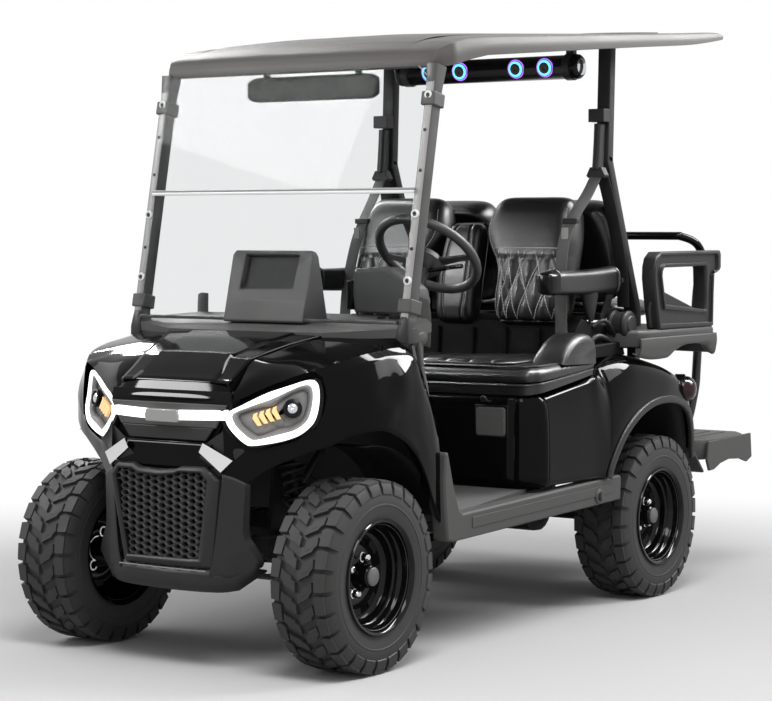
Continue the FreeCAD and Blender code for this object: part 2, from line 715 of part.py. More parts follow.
def build_rear_armrests():
    """Moulded loops that stand on the tray, open in the upper half."""
    outer = [(1602, tray_top_z + seat_gap), (1558, 1110), (1566, 1160), (1600, 1188), (2106, 1190), (2107, 1126),
             (2050, 1122), (2046, tray_top_z + seat_gap)]
    opening = [(1640, 1080), (1632, 1128), (1985, 1128), (1988, 985)]
    loop = side_plate(outer, 548, 598).cut(side_plate(opening, 500, 640))
    pocket = side_plate([(1640, 950), (1640, 1060), (1985, 965), (1985, 950)], 572, 640)
    keep("rear_armrests", pair(loop.cut(pocket)))


def build_rear_seat():
    deck = box(-410, 410, 1694, 2050, tray_top_z + seat_gap, tray_top_z + 18)
    pad = side_plate([(1690, tray_top_z + 18), (1690, 1000), (1706, 1016), (2020, 1020), (2040, 1000),
                      (2044, tray_top_z + 18)], -405, 405)
    keep("rear_seat_bottom", fuse([deck, pad]))


def build_grab_rail():
    """A round rail across the rear of the tray, bent down at each side."""
    points = [Vector(x, 2035, z) for x, z in ((515, tray_top_z + seat_gap), (515, 1250), (-515, 1250),
                                              (-515, tray_top_z + seat_gap))]
    keep("grab_rail", bent_tube(points, 90, 13.5))


def build_footplate():
    half = footplate_half_width
    front, rear = footplate_front_y, footplate_rear_y
    plan = across([(0, front), (half - 60, front), (half, front + 80), (half - 10, rear - 30), (half - 50, rear)])
    solid = plan_plate(plan, footplate_base_z, footplate_top_z)
    slope = side_plate([(rear - 62, footplate_top_z + 1), (rear + 5, footplate_top_z + 1),
                        (rear + 5, footplate_base_z - 1), (rear, footplate_base_z - 1)], -700, 700)
    hollow = box(-half + 24, half - 24, front + 24, rear - 70, footplate_base_z - 1, footplate_top_z - 12)
    arch = Part.makeCylinder(150, 2 * half + 40, Vector(-half - 20, 2290, footplate_base_z - 118),
                             Vector(1, 0, 0))
    keep("footplate", solid.cut(slope).cut(hollow).cut(arch))
    tube = box(283, 317, 1990, 2024, 440, tray_top_z - 8 - seat_gap)
    arm = box(280, 320, 1980, front - seat_gap, 420, 460)
    cross = box(-320, 320, 1960 + seat_gap, 1998, 420, 460)
    keep("footplate_supports", fuse([tube, mirror(tube), arm, mirror(arm), cross]))


def build_front_suspension():
    """Lower and upper arms from the frame to the knuckles, with a spring and damper on each side."""
    frame_side = rail_x + rail_half_width + seat_gap
    room = fuse([box(-frame_side, frame_side, -300, 300, 100, 700),
                 rod(Vector(kingpin_x, 0, 100), Vector(kingpin_x, 0, 500), kingpin_radius + seat_gap)])
    sides = []
    for level, inner_z, ball_z, front_y, rear_y, width in (("low", 300, 203, -75, 120, 24),
                                                           ("high", 362, 355, -74, 104, 18)):
        ball = Vector(kingpin_x - 8, 0, ball_z)
        legs = [bar(Vector(rail_x + 15, y, inner_z), ball + Vector(0, y * 0.12, 0), width, width * 0.8)
                for y in (front_y, rear_y)]
        if level == "low":
            legs.append(box(308, 336, -40, 64, 244, 272 - seat_gap))
        arm = fuse(legs).cut(room)
        sides += [arm, mirror(arm)]
    keep("front_suspension", Part.makeCompound(sides))
    foot = Vector(322, 12, 275)
    head = Vector(240, 12, 612)
    body = prism(foot, head, 12, 10)
    coil = prism(foot + (head - foot) * 0.3, foot + (head - foot) * 0.9, 25, 12)
    keep("coilovers", pair(fuse([body, coil])))


def build_knuckles():
    for side, sign in (("left", 1), ("right", -1)):
        post = prism(Vector(kingpin_x, 0, 216), Vector(kingpin_x, 0, 342), kingpin_radius, 12)
        spindle = rod(Vector(kingpin_x, 0, axle_height),
                      Vector(half_track + spindle_reach - 2, 0, axle_height), spindle_radius)
        arm = bar(Vector(kingpin_x, 0, 250), Vector(kingpin_x, -steer_arm, 250), 22, 16)
        knuckle = fuse([post, spindle, arm])
        keep("knuckle_" + side, knuckle if sign > 0 else mirror(knuckle))
    tie_z = 258 + 9 + seat_gap
    keep("tie_rod", prism(Vector(-kingpin_x, -steer_arm, tie_z), Vector(kingpin_x, -steer_arm, tie_z), 9, 10))


def build_steering():
    axis, knee = steering_line()
    centre = steer_centre
    grip = [(steer_radius - steer_grip + steer_grip * math.cos(k * math.pi / 3),
             steer_grip * math.sin(k * math.pi / 3)) for k in range(6)]
    outer = turned(grip, 24)
    outer.Placement = FreeCAD.Placement(centre, FreeCAD.Rotation(Vector(1, 0, 0), axis))
    hub = prism(centre - axis * 40, centre - axis * 8, 44, 16)
    spokes = []
    for angle in (0, 180, 270):
        spin = FreeCAD.Rotation(axis, angle)
        way = spin.multVec(Vector(1, 0, 0))
        spokes.append(bar(centre - axis * 24 + way * 20, centre - axis * 4 + way * (steer_radius - steer_grip),
                          30, 12))
    keep("steering_wheel", fuse([outer, hub] + spokes))
    top = centre - axis * (40 + seat_gap)
    column = prism(knee, top, 22, 16)
    lower = prism(knee + axis * 6, rack_centre, 11, 10)
    rack = box(120, 205 - seat_gap, 30, 90, 385, 425)
    keep("steering_column", fuse([column, lower, rack]))


def build_rear_axle():
    tube = rod(Vector(-half_track - spindle_reach + 2, wheelbase, axle_height),
               Vector(half_track + spindle_reach - 2, wheelbase, axle_height), spindle_radius)
    case = prism(Vector(-365, wheelbase, axle_height), Vector(365, wheelbase, axle_height), 34, 14)
    gear = prism(Vector(-40, wheelbase, axle_height), Vector(90, wheelbase, axle_height), 85, 18)
    motor = prism(Vector(-40, wheelbase - 190, axle_height + 30), Vector(190, wheelbase - 190, axle_height + 30),
                  88, 18)
    bridge = box(-40, 90, wheelbase - 200, wheelbase, axle_height - 30, axle_height + 60)
    base = axle_height + 30
    leaf = side_plate([(1500, base), (1500, 350 - seat_gap), (1530, 380 - seat_gap), (1530, base + 18),
                       (1900, base + 18), (1900, 410 - seat_gap), (1930, 410 - seat_gap), (1930, base)],
                      rail_x - rail_half_width, rail_x + rail_half_width)
    keep("rear_axle", fuse([tube, case, gear, motor, bridge, leaf, mirror(leaf)]))
    keep("battery_block", box(-228, 228, 915, 1330, rail_top + seat_gap, 640))


def main():
    build_wheels()
    build_chassis()
    build_floor()
    build_rockers()
    build_front_body()
    build_hood()
    build_lamps()
    build_grille()
    build_bumper()
    build_cowl()
    build_monitor_pod()
    build_console()
    build_pedals()
    build_screens()
    build_pillars()
    build_roof()
    build_struts()
    build_mirror()
    build_sound_bar()
    build_rear_body()
    build_rear_details()
    build_seats()
    build_seat_frame()
    build_armrests()
    build_belts()
    build_tray()
    build_rear_armrests()
    build_rear_seat()
    build_grab_rail()
    build_footplate()
    build_front_suspension()
    build_knuckles()
    build_steering()
    build_rear_axle()
    os.makedirs("parts", exist_ok=True)
    for name, shape in nodes.items():
        shape.translate(Vector(0, datum_to_middle, 0))
        shape.exportStep("parts/%s.step" % name)


main()
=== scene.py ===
"""The looks of a lifted four-seat golf cart, built round the packed model.

Shapes are drawn in millimetres from the front axle line on the ground: the cart faces -Y, with its left
side at +X. A grid of points makes each surface: rows by columns, worked out as whole arrays.
"""

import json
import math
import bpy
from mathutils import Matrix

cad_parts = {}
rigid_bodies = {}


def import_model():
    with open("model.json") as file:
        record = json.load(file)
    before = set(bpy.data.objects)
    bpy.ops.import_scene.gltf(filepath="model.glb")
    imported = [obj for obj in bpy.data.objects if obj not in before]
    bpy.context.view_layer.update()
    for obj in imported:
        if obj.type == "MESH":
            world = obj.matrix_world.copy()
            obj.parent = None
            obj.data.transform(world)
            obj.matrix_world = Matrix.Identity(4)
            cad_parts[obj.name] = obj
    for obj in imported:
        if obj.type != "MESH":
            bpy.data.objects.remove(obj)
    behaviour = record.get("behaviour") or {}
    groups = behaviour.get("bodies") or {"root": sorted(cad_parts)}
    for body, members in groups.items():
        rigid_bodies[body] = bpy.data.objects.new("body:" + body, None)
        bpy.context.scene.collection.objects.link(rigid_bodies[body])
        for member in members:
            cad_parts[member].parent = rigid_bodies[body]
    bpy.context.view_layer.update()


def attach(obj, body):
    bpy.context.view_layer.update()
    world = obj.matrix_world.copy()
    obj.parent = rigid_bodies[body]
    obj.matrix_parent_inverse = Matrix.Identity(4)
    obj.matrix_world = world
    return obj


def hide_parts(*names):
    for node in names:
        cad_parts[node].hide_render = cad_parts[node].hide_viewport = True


bl_info = {
    "name": "Lifted golf cart",
    "version": (1, 0, 0),
    "blender": (4, 5, 0),
    "location": "View3D > Sidebar > Cart",
    "description": "Dresses the packed golf cart with smooth panels, padded seats, tread and finishes",
    "category": "Object",
}

import bmesh
import bpy
import numpy as np
from mathutils import Matrix, Vector

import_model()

MM = 1000.0  # millimetres in a metre
AXLE_TO_MIDDLE = np.array([0.0, -1080.5, 0.0])
MERGE_DISTANCE = 2e-6
BEVEL_FROM = math.radians(32)
EDGE_CROWDING = 2.2
PAD_CORNER = 0.35
GRAIN_DISTANCE = 0.001
STUDIO_LEVEL = 0.38
PHOTO_LENS = 107.5
PHOTO_PLACE = (4.2607, -6.4399, 1.2708)
PHOTO_AZIMUTH, PHOTO_PITCH = math.radians(34.40), math.radians(3.04)
FINISHES = {}


def length(name):
    """A length of the settings, in millimetres, to a thousandth."""
    return round(getattr(bpy.context.scene.cart, name) * MM, 3)


def angle(name):
    """An angle of the settings in radians, to a thousandth of a degree."""
    return math.radians(round(math.degrees(getattr(bpy.context.scene.cart, name)), 3))


def tone(name):
    """A colour of the settings, each channel to a millionth."""
    return tuple(round(channel, 6) for channel in getattr(bpy.context.scene.cart, name))


def smoothstep(low, high, value):
    """0 below low, 1 above high, with an S curve between."""
    t = np.clip((value - low) / (high - low), 0.0, 1.0)
    return t * t * (3.0 - 2.0 * t)


def carry(count, steps, corners=()):
    """Weights that carry points to a Catmull-Rom curve, `steps` to a span, with corners kept sharp."""
    rows = []
    for span in range(count - 1):
        times = np.arange(steps + (1 if span == count - 2 else 0)) / steps
        for t in times:
            before = 0.5 * (-t + 2 * t * t - t ** 3)
            after = 0.5 * (t ** 3 - t * t)
            row = np.zeros(count)
            row[span] += 0.5 * (2 - 5 * t * t + 3 * t ** 3)
            row[span + 1] += 0.5 * (t + 4 * t * t - 3 * t ** 3)
            if span == 0 or span in corners:
                row[span] += 2 * before
                row[span + 1] -= before
            else:
                row[span - 1] += before
            if span == count - 2 or span + 1 in corners:
                row[span + 1] += 2 * after
                row[span] -= after
            else:
                row[span + 2] += after
            rows.append(row)
    return np.array(rows)


def curve(points, steps=8, corners=()):
    """A smooth line through points: carry weights times the points."""
    points = np.array(points, float)
    return carry(len(points), steps, corners) @ points


def patch(net, steps_u=8, steps_v=8, corners_u=(), corners_v=()):
    """A smooth surface through a net of points: weights along rows and columns, W_u . net . W_v."""
    net = np.array(net, float)
    return np.einsum("ia,abk,jb->ijk", carry(net.shape[0], steps_u, corners_u), net,
        carry(net.shape[1], steps_v, corners_v))


def surface(points, close_u=False, close_v=False):
    """Quads over a grid of points, rows by columns, joined end to end where it closes."""
    rows, columns = points.shape[:2]
    index = np.arange(rows * columns).reshape(rows, columns)
    if close_u:
        index = np.vstack([index, index[:1]])
    if close_v:
        index = np.hstack([index, index[:, :1]])
    quads = np.stack([index[:-1, :-1], index[1:, :-1], index[1:, 1:], index[:-1, 1:]], -1).reshape(-1, 4)
    return points.reshape(-1, 3), quads.tolist()


def capped(points):
    """A closed tube from a grid whose columns run round it, with flat caps on its first and last rows."""
    verts, faces = surface(points, close_v=True)
    rows, columns = points.shape[:2]
    faces.append(list(range(columns))[::-1])
    faces.append(list(range((rows - 1) * columns, rows * columns)))
    return verts, faces


def plate(outline, axis, low, high):
    """A flat outline pushed along one axis: axis 0 takes (y, z) points, 1 takes (x, z), 2 takes (x, y)."""
    outline = np.array(outline, float)
    others = [k for k in range(3) if k != axis]
    layers = np.zeros((2, len(outline), 3))
    layers[:, :, others] = outline
    layers[0, :, axis] = low
    layers[1, :, axis] = high
    return capped(layers)


def brick(x0, x1, y0, y1, z0, z1):
    """A block from its corner values."""
    return plate([(y0, z0), (y1, z0), (y1, z1), (y0, z1)], 0, x0, x1)


def lathe(profile, count, centre, side=1):
    """A profile of (radius, x) points turned about the X axis: (side x, r sin t, r cos t)."""
    profile = np.array(profile, float)
    turn = np.linspace(0, 2 * math.pi, count, endpoint=False)[None, :]
    radius, reach = profile[:, :1], profile[:, 1:]
    points = np.stack([side * reach + 0 * turn, radius * np.sin(turn), radius * np.cos(turn)], -1)
    return surface(points + np.array(centre, float), close_v=True)


def frames(path, reference):
    """Unit sideways and upward directions along a path, square to it and to a reference direction."""
    run = np.gradient(path, axis=0)
    run /= np.linalg.norm(run, axis=1, keepdims=True)
    side = np.cross(run, np.array(reference, float))
    side /= np.linalg.norm(side, axis=1, keepdims=True)
    return side, np.cross(side, run)


def sweep(profile, path, reference=(0, 0, 1), scale=None):
    """A closed profile of (side, up) points carried along a path: path + a side + b up."""
    profile, path = np.array(profile, float), np.array(path, float)
    side, up = frames(path, reference)
    size = np.ones(len(path)) if scale is None else np.array(scale, float)
    points = (path[:, None] + (
        profile[None, :, :1] * side[:, None] + profile[None, :, 1:] * up[:, None]) * size[:, None, None])
    return capped(points)


def full_turn(count):
    """Angles round a circle, without the last, which is the first again."""
    return np.linspace(0, 2 * math.pi, count + 1)[:-1]


def circle(radius, count=14, squash=1.0):
    """Points round a circle or, squashed, an ellipse."""
    turn = np.linspace(0, 2 * math.pi, count, endpoint=False)
    return np.stack([radius * np.cos(turn), radius * squash * np.sin(turn)], -1)


def rounded(width, depth, radius, steps=3):
    """A rectangle profile with rounded corners."""
    points = []
    for quarter, (sx, sy) in enumerate(((1, 1), (-1, 1), (-1, -1), (1, -1))):
        turn = np.linspace(0, math.pi / 2, steps) + quarter * math.pi / 2
        points.append(np.stack([sx * (width / 2 - radius) + radius * np.cos(turn),
            sy * (depth / 2 - radius) + radius * np.sin(turn)], -1))
    return np.vstack(points)


def tube(points, radius, reference=(0, 0, 1), steps=8, corners=(), count=14):
    """A round tube along the smooth line through points: a circle carried along the curve."""
    return sweep(circle(radius, count), curve(points, steps, corners), reference)


def lathe_y(centre, profile, count=20):
    """A (radius, y) profile turned about a line along Y."""
    turn = np.linspace(0, 2 * math.pi, count, endpoint=False)
    rows = [np.stack([centre[0] + r * np.cos(turn), centre[1] + y + 0 * turn, centre[2] + r * np.sin(turn)],
        -1) for r, y in profile]
    return surface(np.array(rows), close_v=True)


def rod(start, end, radius, count=20):
    """A straight round bar with small rounded ends."""
    start, end = np.array(start, float), np.array(end, float)
    run = end - start
    length = np.linalg.norm(run)
    lip = min(radius * 0.2, length * 0.2) / length
    path = start + run * np.array([0, lip, 1 - lip, 1])[:, None]
    reference = (1, 0, 0) if abs(run[0]) < 0.9 * length else (0, 0, 1)
    return sweep(circle(radius, count), path, reference, [0.85, 1, 1, 0.85])


def pad(middle, thick_front, thick_back, power=8.0, corner=0.35, relief=None, count=(72, 72)):
    """A crowned cushion: a middle surface with both faces raised by T (1-|a|^p)^.5 (1-|b|^p)^.5.

    middle(a, b) gives the points and the facing direction for a, b in -1..1. Corners are drawn in by
    a sqrt(1 - k b^2 / 2), and relief(points) sinks seams into the front face.
    """
    def spaced(n):
        """Values from -1 to 1 that crowd towards the ends: sign(s) (1 - (1 - |s|)^EDGE_CROWDING)."""
        s = np.linspace(-1, 1, n)
        return np.sign(s) * (1 - (1 - np.abs(s)) ** EDGE_CROWDING)
    a, b = np.meshgrid(spaced(count[0]), spaced(count[1]), indexing="ij")
    flat_a = a * np.sqrt(1 - corner * b ** 8 / 2)
    flat_b = b * np.sqrt(1 - corner * a ** 8 / 2)
    points, facing = middle(flat_a, flat_b)
    rise = np.sqrt(np.clip(1 - np.abs(a) ** power, 0, 1) * np.clip(1 - np.abs(b) ** power, 0, 1))[..., None]
    front = points + facing * thick_front * rise
    if relief is not None:
        front = front - facing * (relief(front, a, b) * smoothstep(0.0, 0.5, rise[..., 0]))[..., None]
    back = points - facing * thick_back * rise
    front_part = surface(front)
    back_verts, back_faces = surface(back)
    return joined([front_part, (back_verts, [f[::-1] for f in back_faces])])


def joined(parts):
    """One set of points and faces from several."""
    verts, faces, start = [], [], 0
    for points, polygons in parts:
        verts.append(points)
        faces += [[start + k for k in face] for face in polygons]
        start += len(points)
    return np.vstack(verts), faces


def mirrored(part):
    """The part's mirror image across the middle, with its faces turned the right way again."""
    points, faces = part
    return points * np.array([-1.0, 1.0, 1.0]), [face[::-1] for face in faces]


def both(parts):
    """The parts, and their mirror images after them."""
    return list(parts) + [mirrored(part) for part in parts]


def turned_about(part, centre, axis, angle):
    """A part turned about an axis through a centre."""
    points, faces = part
    spin = np.array(Matrix.Rotation(angle, 3, Vector(axis)))
    centre = np.array(centre, float)
    return (points - centre) @ spin.T + centre, faces


def piece(name, parts, finish, body="chassis", replaces=(), bevel=0.0, wall=0.0, sharp=38, closed=True,
        extra=()):
    """Makes one object from parts, in metres at the origin; `extra` holds more (finish, parts) pairs."""
    mesh = bpy.data.meshes.new(name)
    groups = [(finish, list(parts))] + [(other, list(more)) for other, more in extra]
    everything, marks = [], []
    for index, (_, members) in enumerate(groups):
        for member in members:
            everything.append(member)
            marks += [index] * len(member[1])
    verts, faces = joined(everything)
    mesh.from_pydata(((verts + AXLE_TO_MIDDLE) / MM).tolist(), [], faces)
    mesh.polygons.foreach_set("material_index", marks)
    for other, _ in groups:
        mesh.materials.append(FINISHES[other])
    work = bmesh.new()
    work.from_mesh(mesh)
    bmesh.ops.remove_doubles(work, verts=work.verts, dist=MERGE_DISTANCE)
    if closed:
        bmesh.ops.recalc_face_normals(work, faces=work.faces)
    work.to_mesh(mesh)
    work.free()
    mesh.polygons.foreach_set("use_smooth", [True] * len(mesh.polygons))
    mesh.set_sharp_from_angle(angle=math.radians(sharp))
    thing = bpy.data.objects.new(name, mesh)
    bpy.context.scene.collection.objects.link(thing)
    if wall:
        solidify = thing.modifiers.new("wall", "SOLIDIFY")
        solidify.thickness = wall / MM
        solidify.offset = -1.0
        solidify.use_rim = True
    if bevel:
        edge = thing.modifiers.new("edge", "BEVEL")
        edge.width = bevel / MM
        edge.segments = 2
        edge.limit_method = "ANGLE"
        edge.angle_limit = BEVEL_FROM
        edge.harden_normals = False
    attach(thing, body)
    if replaces:
        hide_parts(*replaces)
    return thing


# Finishes


def wire(start, output, end, socket):
    """Links an output of one node to a socket of another."""
    start.id_data.links.new(start.outputs[output], end.inputs[socket])


def put(node, socket, value):
    """Sets the value of a socket that nothing is linked to."""
    node.inputs[socket].default_value = value


def grey(level):
    """A grey that is a little warm: blue 3 percent under red."""
    return (level, level * 0.985, level * 0.97)


def lighter(tone, step):
    """A tone with each channel raised by a step."""
    return tuple(channel + rise for channel, rise in zip(tone, step))


def named_group(name, inputs, outputs):
    """An empty shader node group with its named sockets; returns the tree and its two end nodes."""
    tree = bpy.data.node_groups.new(name, "ShaderNodeTree")
    for label, kind, value in inputs:
        socket = tree.interface.new_socket(name=label, in_out="INPUT", socket_type=kind)
        if value is not None:
            socket.default_value = value
    for label, kind in outputs:
        tree.interface.new_socket(name=label, in_out="OUTPUT", socket_type=kind)
    return tree, tree.nodes.new("NodeGroupInput"), tree.nodes.new("NodeGroupOutput")


def tone_group():
    """Slow colour and roughness change, so that no surface is one flat value."""
    tree, start, end = named_group(
        "Tone change",
        [("Vector", "NodeSocketVector", None), ("Scale", "NodeSocketFloat", 6.0),
         ("Dark", "NodeSocketColor", (0, 0, 0, 1)), ("Light", "NodeSocketColor", (1, 1, 1, 1)),
         ("Rough low", "NodeSocketFloat", 0.3), ("Rough high", "NodeSocketFloat", 0.5)],
        [("Colour", "NodeSocketColor"), ("Roughness", "NodeSocketFloat")])
    noise = tree.nodes.new("ShaderNodeTexNoise")
    put(noise, "Detail", 5.0)
    wire(start, "Vector", noise, "Vector")
    wire(start, "Scale", noise, "Scale")
    mix = tree.nodes.new("ShaderNodeMix")
    mix.data_type = "RGBA"
    wire(noise, "Fac", mix, "Factor")
    wire(start, "Dark", mix, "A")
    wire(start, "Light", mix, "B")
    wire(mix, "Result", end, "Colour")
    spread = tree.nodes.new("ShaderNodeMapRange")
    wire(noise, "Fac", spread, "Value")
    put(spread, "From Min", 0.3)
    put(spread, "From Max", 0.7)
    wire(start, "Rough low", spread, "To Min")
    wire(start, "Rough high", spread, "To Max")
    wire(spread, "Result", end, "Roughness")
    return tree


def grain_group():
    """Height of a pebbled grain: cells for leather and moulded plastic, with fine noise on top."""
    tree, start, end = named_group(
        "Pebble grain",
        [("Vector", "NodeSocketVector", None), ("Scale", "NodeSocketFloat", 600.0),
         ("Fine", "NodeSocketFloat", 0.5)],
        [("Height", "NodeSocketFloat")])
    cells = tree.nodes.new("ShaderNodeTexVoronoi")
    cells.feature = "SMOOTH_F1"
    noise = tree.nodes.new("ShaderNodeTexNoise")
    put(noise, "Detail", 3.0)
    for node in (cells, noise):
        wire(start, "Vector", node, "Vector")
        wire(start, "Scale", node, "Scale")
    mix = tree.nodes.new("ShaderNodeMix")
    wire(start, "Fine", mix, "Factor")
    wire(cells, "Distance", mix, "A")
    wire(noise, "Fac", mix, "B")
    wire(mix, "Result", end, "Height")
    return tree


def weave_group():
    """Height of a woven strap: two crossing sets of waves."""
    tree, start, end = named_group(
        "Woven strap",
        [("Vector", "NodeSocketVector", None), ("Scale", "NodeSocketFloat", 300.0)],
        [("Height", "NodeSocketFloat")])
    waves = []
    for direction in ("X", "Z"):
        wave = tree.nodes.new("ShaderNodeTexWave")
        wave.bands_direction = direction
        wire(start, "Vector", wave, "Vector")
        wire(start, "Scale", wave, "Scale")
        waves.append(wave)
    product = tree.nodes.new("ShaderNodeMath")
    product.operation = "MULTIPLY"
    tree.links.new(waves[0].outputs["Fac"], product.inputs[0])
    tree.links.new(waves[1].outputs["Fac"], product.inputs[1])
    wire(product, "Value", end, "Height")
    return tree


def make_finish(name, groups, dark, light, rough, scale=6.0, grain=None, bump=0.0, metallic=0.0, specular=0.5,
        glow=None, transmission=0.0, ior=1.5, weave=False, rise=None):
    """One material: a Principled shader fed by the shared groups, with its constants on its own sockets."""
    material = bpy.data.materials.new(name)
    material.use_nodes = True
    tree = material.node_tree
    shader = tree.nodes["Principled BSDF"]
    place = tree.nodes.new("ShaderNodeTexCoord")
    put(shader, "Metallic", metallic)
    put(shader, "Specular IOR Level", specular)
    put(shader, "IOR", ior)
    put(shader, "Transmission Weight", transmission)
    tone = tree.nodes.new("ShaderNodeGroup")
    tone.node_tree = groups["tone"]
    wire(place, "Object", tone, "Vector")
    put(tone, "Scale", scale)
    put(tone, "Dark", (*dark, 1))
    put(tone, "Light", (*light, 1))
    put(tone, "Rough low", rough[0])
    put(tone, "Rough high", rough[1])
    # Where rise is given, the colour blends towards it from front to rear: painted light that lightens the
    # canopy towards its rear
    if rise:
        spot = tree.nodes.new("ShaderNodeSeparateXYZ")
        wire(place, "Object", spot, "Vector")
        along = tree.nodes.new("ShaderNodeMapRange")
        put(along, "From Min", -0.6)
        put(along, "From Max", 1.05)
        wire(spot, "Y", along, "Value")
        blend = tree.nodes.new("ShaderNodeMix")
        blend.data_type = "RGBA"
        wire(along, "Result", blend, "Factor")
        wire(tone, "Colour", blend, "A")
        put(blend, "B", (*rise, 1))
        wire(blend, "Result", shader, "Base Color")
    else:
        wire(tone, "Colour", shader, "Base Color")
    wire(tone, "Roughness", shader, "Roughness")
    if grain:
        texture = tree.nodes.new("ShaderNodeGroup")
        texture.node_tree = groups["weave" if weave else "grain"]
        wire(place, "Object", texture, "Vector")
        put(texture, "Scale", grain)
        relief = tree.nodes.new("ShaderNodeBump")
        put(relief, "Strength", bump)
        put(relief, "Distance", GRAIN_DISTANCE)
        wire(texture, "Height", relief, "Height")
        wire(relief, "Normal", shader, "Normal")
    if glow:
        put(shader, "Emission Color", (*glow[0], 1))
        put(shader, "Emission Strength", glow[1])
    FINISHES[name] = material


def make_finishes():
    """The table of finishes: dark and light tone, roughness range, and what differs from plain plastic."""
    groups = {"tone": tone_group(), "grain": grain_group(), "weave": weave_group()}
    table = [("gloss", tone("panel_colour"), lighter(tone("panel_colour"), (0.0014,) * 3), (0.05, 0.085),
        dict(scale=2.0, grain=900.0, bump=0.010, specular=0.085)), ("gloss_trim", (0.004,) * 3, (0.007,) * 3,
        (0.12, 0.20), dict(scale=8.0, grain=900.0, bump=0.02, specular=0.16)),
        # painted highlight: a pale grey-white finish for facets that stand for a lamp's bright reflection on
        # the nose
        ("painted_highlight", (0.74,) * 3, (0.80,) * 3, (0.10, 0.20), dict(scale=8.0, specular=0.4)),
        # near-black and barely glossy: black plastic, and dark sheets that are painted shade in the nose's
        # recess and under the seats
        ("black_and_painted_shade", (0.002,) * 3, (0.005,) * 3, (0.6, 0.8), dict(scale=8.0, specular=0.1)),
        ("mesh", grey(0.060), grey(0.075), (0.42, 0.55), dict(scale=9.0, specular=0.3)), ("satin",
        grey(0.014), grey(0.021), (0.42, 0.55), dict(scale=9.0, grain=1400.0, bump=0.18, specular=0.25)),
        ("grey", tone("trim_colour"), lighter(tone("trim_colour"), grey(0.020)), (0.50, 0.64),
        dict(scale=7.0, grain=1300.0, bump=0.25, specular=0.25)), ("roof", tone("roof_colour"),
        lighter(tone("roof_colour"), (0.016, 0.015, 0.014)), (0.46, 0.58),
        # The roof's rise is painted light: the canopy's colour lightens from its front end towards its rear
        dict(scale=3.0, grain=900.0, bump=0.12, specular=0.2, rise=(0.24, 0.23, 0.225))), ("steel",
        grey(0.014), grey(0.022), (0.32, 0.46), dict(scale=14.0, grain=1600.0, bump=0.12, specular=0.3)),
        ("pillar", grey(0.050), grey(0.075), (0.30, 0.42),
        dict(scale=10.0, grain=1500.0, bump=0.10, specular=0.3)), ("pillar_face", grey(0.24), grey(0.34),
        (0.30, 0.42), dict(scale=10.0, grain=1500.0, bump=0.10, specular=0.4)), ("cast", grey(0.008),
        grey(0.015), (0.45, 0.65), dict(scale=20.0, grain=700.0, bump=0.35, specular=0.25)),
        ("mat", grey(0.045), grey(0.065), (0.70, 0.85), dict(scale=16.0, grain=420.0, bump=0.5)),
        ("glow", (0.9,) * 3, (0.95,) * 3, (0.2, 0.3), dict(glow=((1.0, 1.0, 1.0), 1.6))),
        ("amber", (0.85, 0.5, 0.22), (0.95, 0.6, 0.3), (0.25, 0.35), dict(glow=((1.0, 0.62, 0.28), 0.55))),
        ("violet", (0.4, 0.2, 0.8), (0.5, 0.3, 0.9), (0.3, 0.4), dict(glow=((0.42, 0.12, 0.95), 1.2))),
        ("cyan", (0.2, 0.7, 0.8), (0.3, 0.8, 0.9), (0.3, 0.4), dict(glow=((0.12, 0.72, 0.9), 1.3))),
        ("bezel", grey(0.20), grey(0.28), (0.30, 0.40), dict(scale=20.0, grain=1200.0, bump=0.05)),
        ("bar_box", grey(0.30), grey(0.34), (0.30, 0.40), dict(scale=20.0)),
        ("lens", (0.55, 0.57, 0.6), (0.65, 0.67, 0.7), (0.04, 0.08), dict(metallic=0.9)),
        ("red", (0.016, 0.003, 0.003), (0.030, 0.005, 0.005), (0.08, 0.14), dict(scale=30.0, specular=0.3)),
        ("vinyl", tone("seat_colour"), lighter(tone("seat_colour"), (0.0035, 0.0035, 0.0036)), (0.28, 0.38),
        dict(scale=12.0, grain=750.0, bump=0.30, specular=0.45)),
        ("piping", (0.012,) * 3, (0.017,) * 3, (0.28, 0.36), dict(scale=12.0, grain=900.0, bump=0.2)),
        ("stitch", tone("stitch_colour"), lighter(tone("stitch_colour"), (0.12,) * 3), (0.6, 0.7),
        dict(scale=60.0)), ("webbing", grey(0.045), grey(0.07), (0.6, 0.75),
        dict(scale=40.0, grain=420.0, bump=0.5, weave=True)),
        ("grip", grey(0.016), grey(0.024), (0.40, 0.52), dict(scale=14.0, grain=1200.0, bump=0.3)), ("rubber",
        grey(0.020), grey(0.034), (0.58, 0.74), dict(scale=9.0, grain=500.0, bump=0.22, specular=0.35)),
        ("rim", tone("rim_colour"), lighter(tone("rim_colour"), (0.003,) * 3), (0.07, 0.14),
        dict(scale=6.0, grain=900.0, bump=0.02, specular=0.2)),
        ("hub_cap", grey(0.10), grey(0.13), (0.45, 0.55), dict(scale=20.0, grain=900.0, bump=0.1)),
        ("chrome", (0.62,) * 3, (0.72,) * 3, (0.08, 0.14), dict(metallic=1.0, scale=30.0)), ("acrylic",
        (0.80, 0.815, 0.82), (0.82, 0.835, 0.84), (0.0, 0.01), dict(transmission=1.0, ior=1.07)),
        ("white_plastic", (0.7,) * 3, (0.8,) * 3, (0.3, 0.4), dict(scale=20.0))]
    for name, dark, light, rough, more in table:
        make_finish(name, groups, dark, light, rough, **more)


NODE_FINISHES = {"chassis_frame": "steel", "floor_pan": "mat", "dash_cowl": "grey", "pedals": "grip",
    "seat_frame": "steel", "footplate_supports": "steel", "front_suspension": "cast", "knuckle_left": "cast",
    "knuckle_right": "cast", "tie_rod": "steel", "steering_column": "steel", "rear_axle": "cast",
    "battery_block": "gloss_trim"}


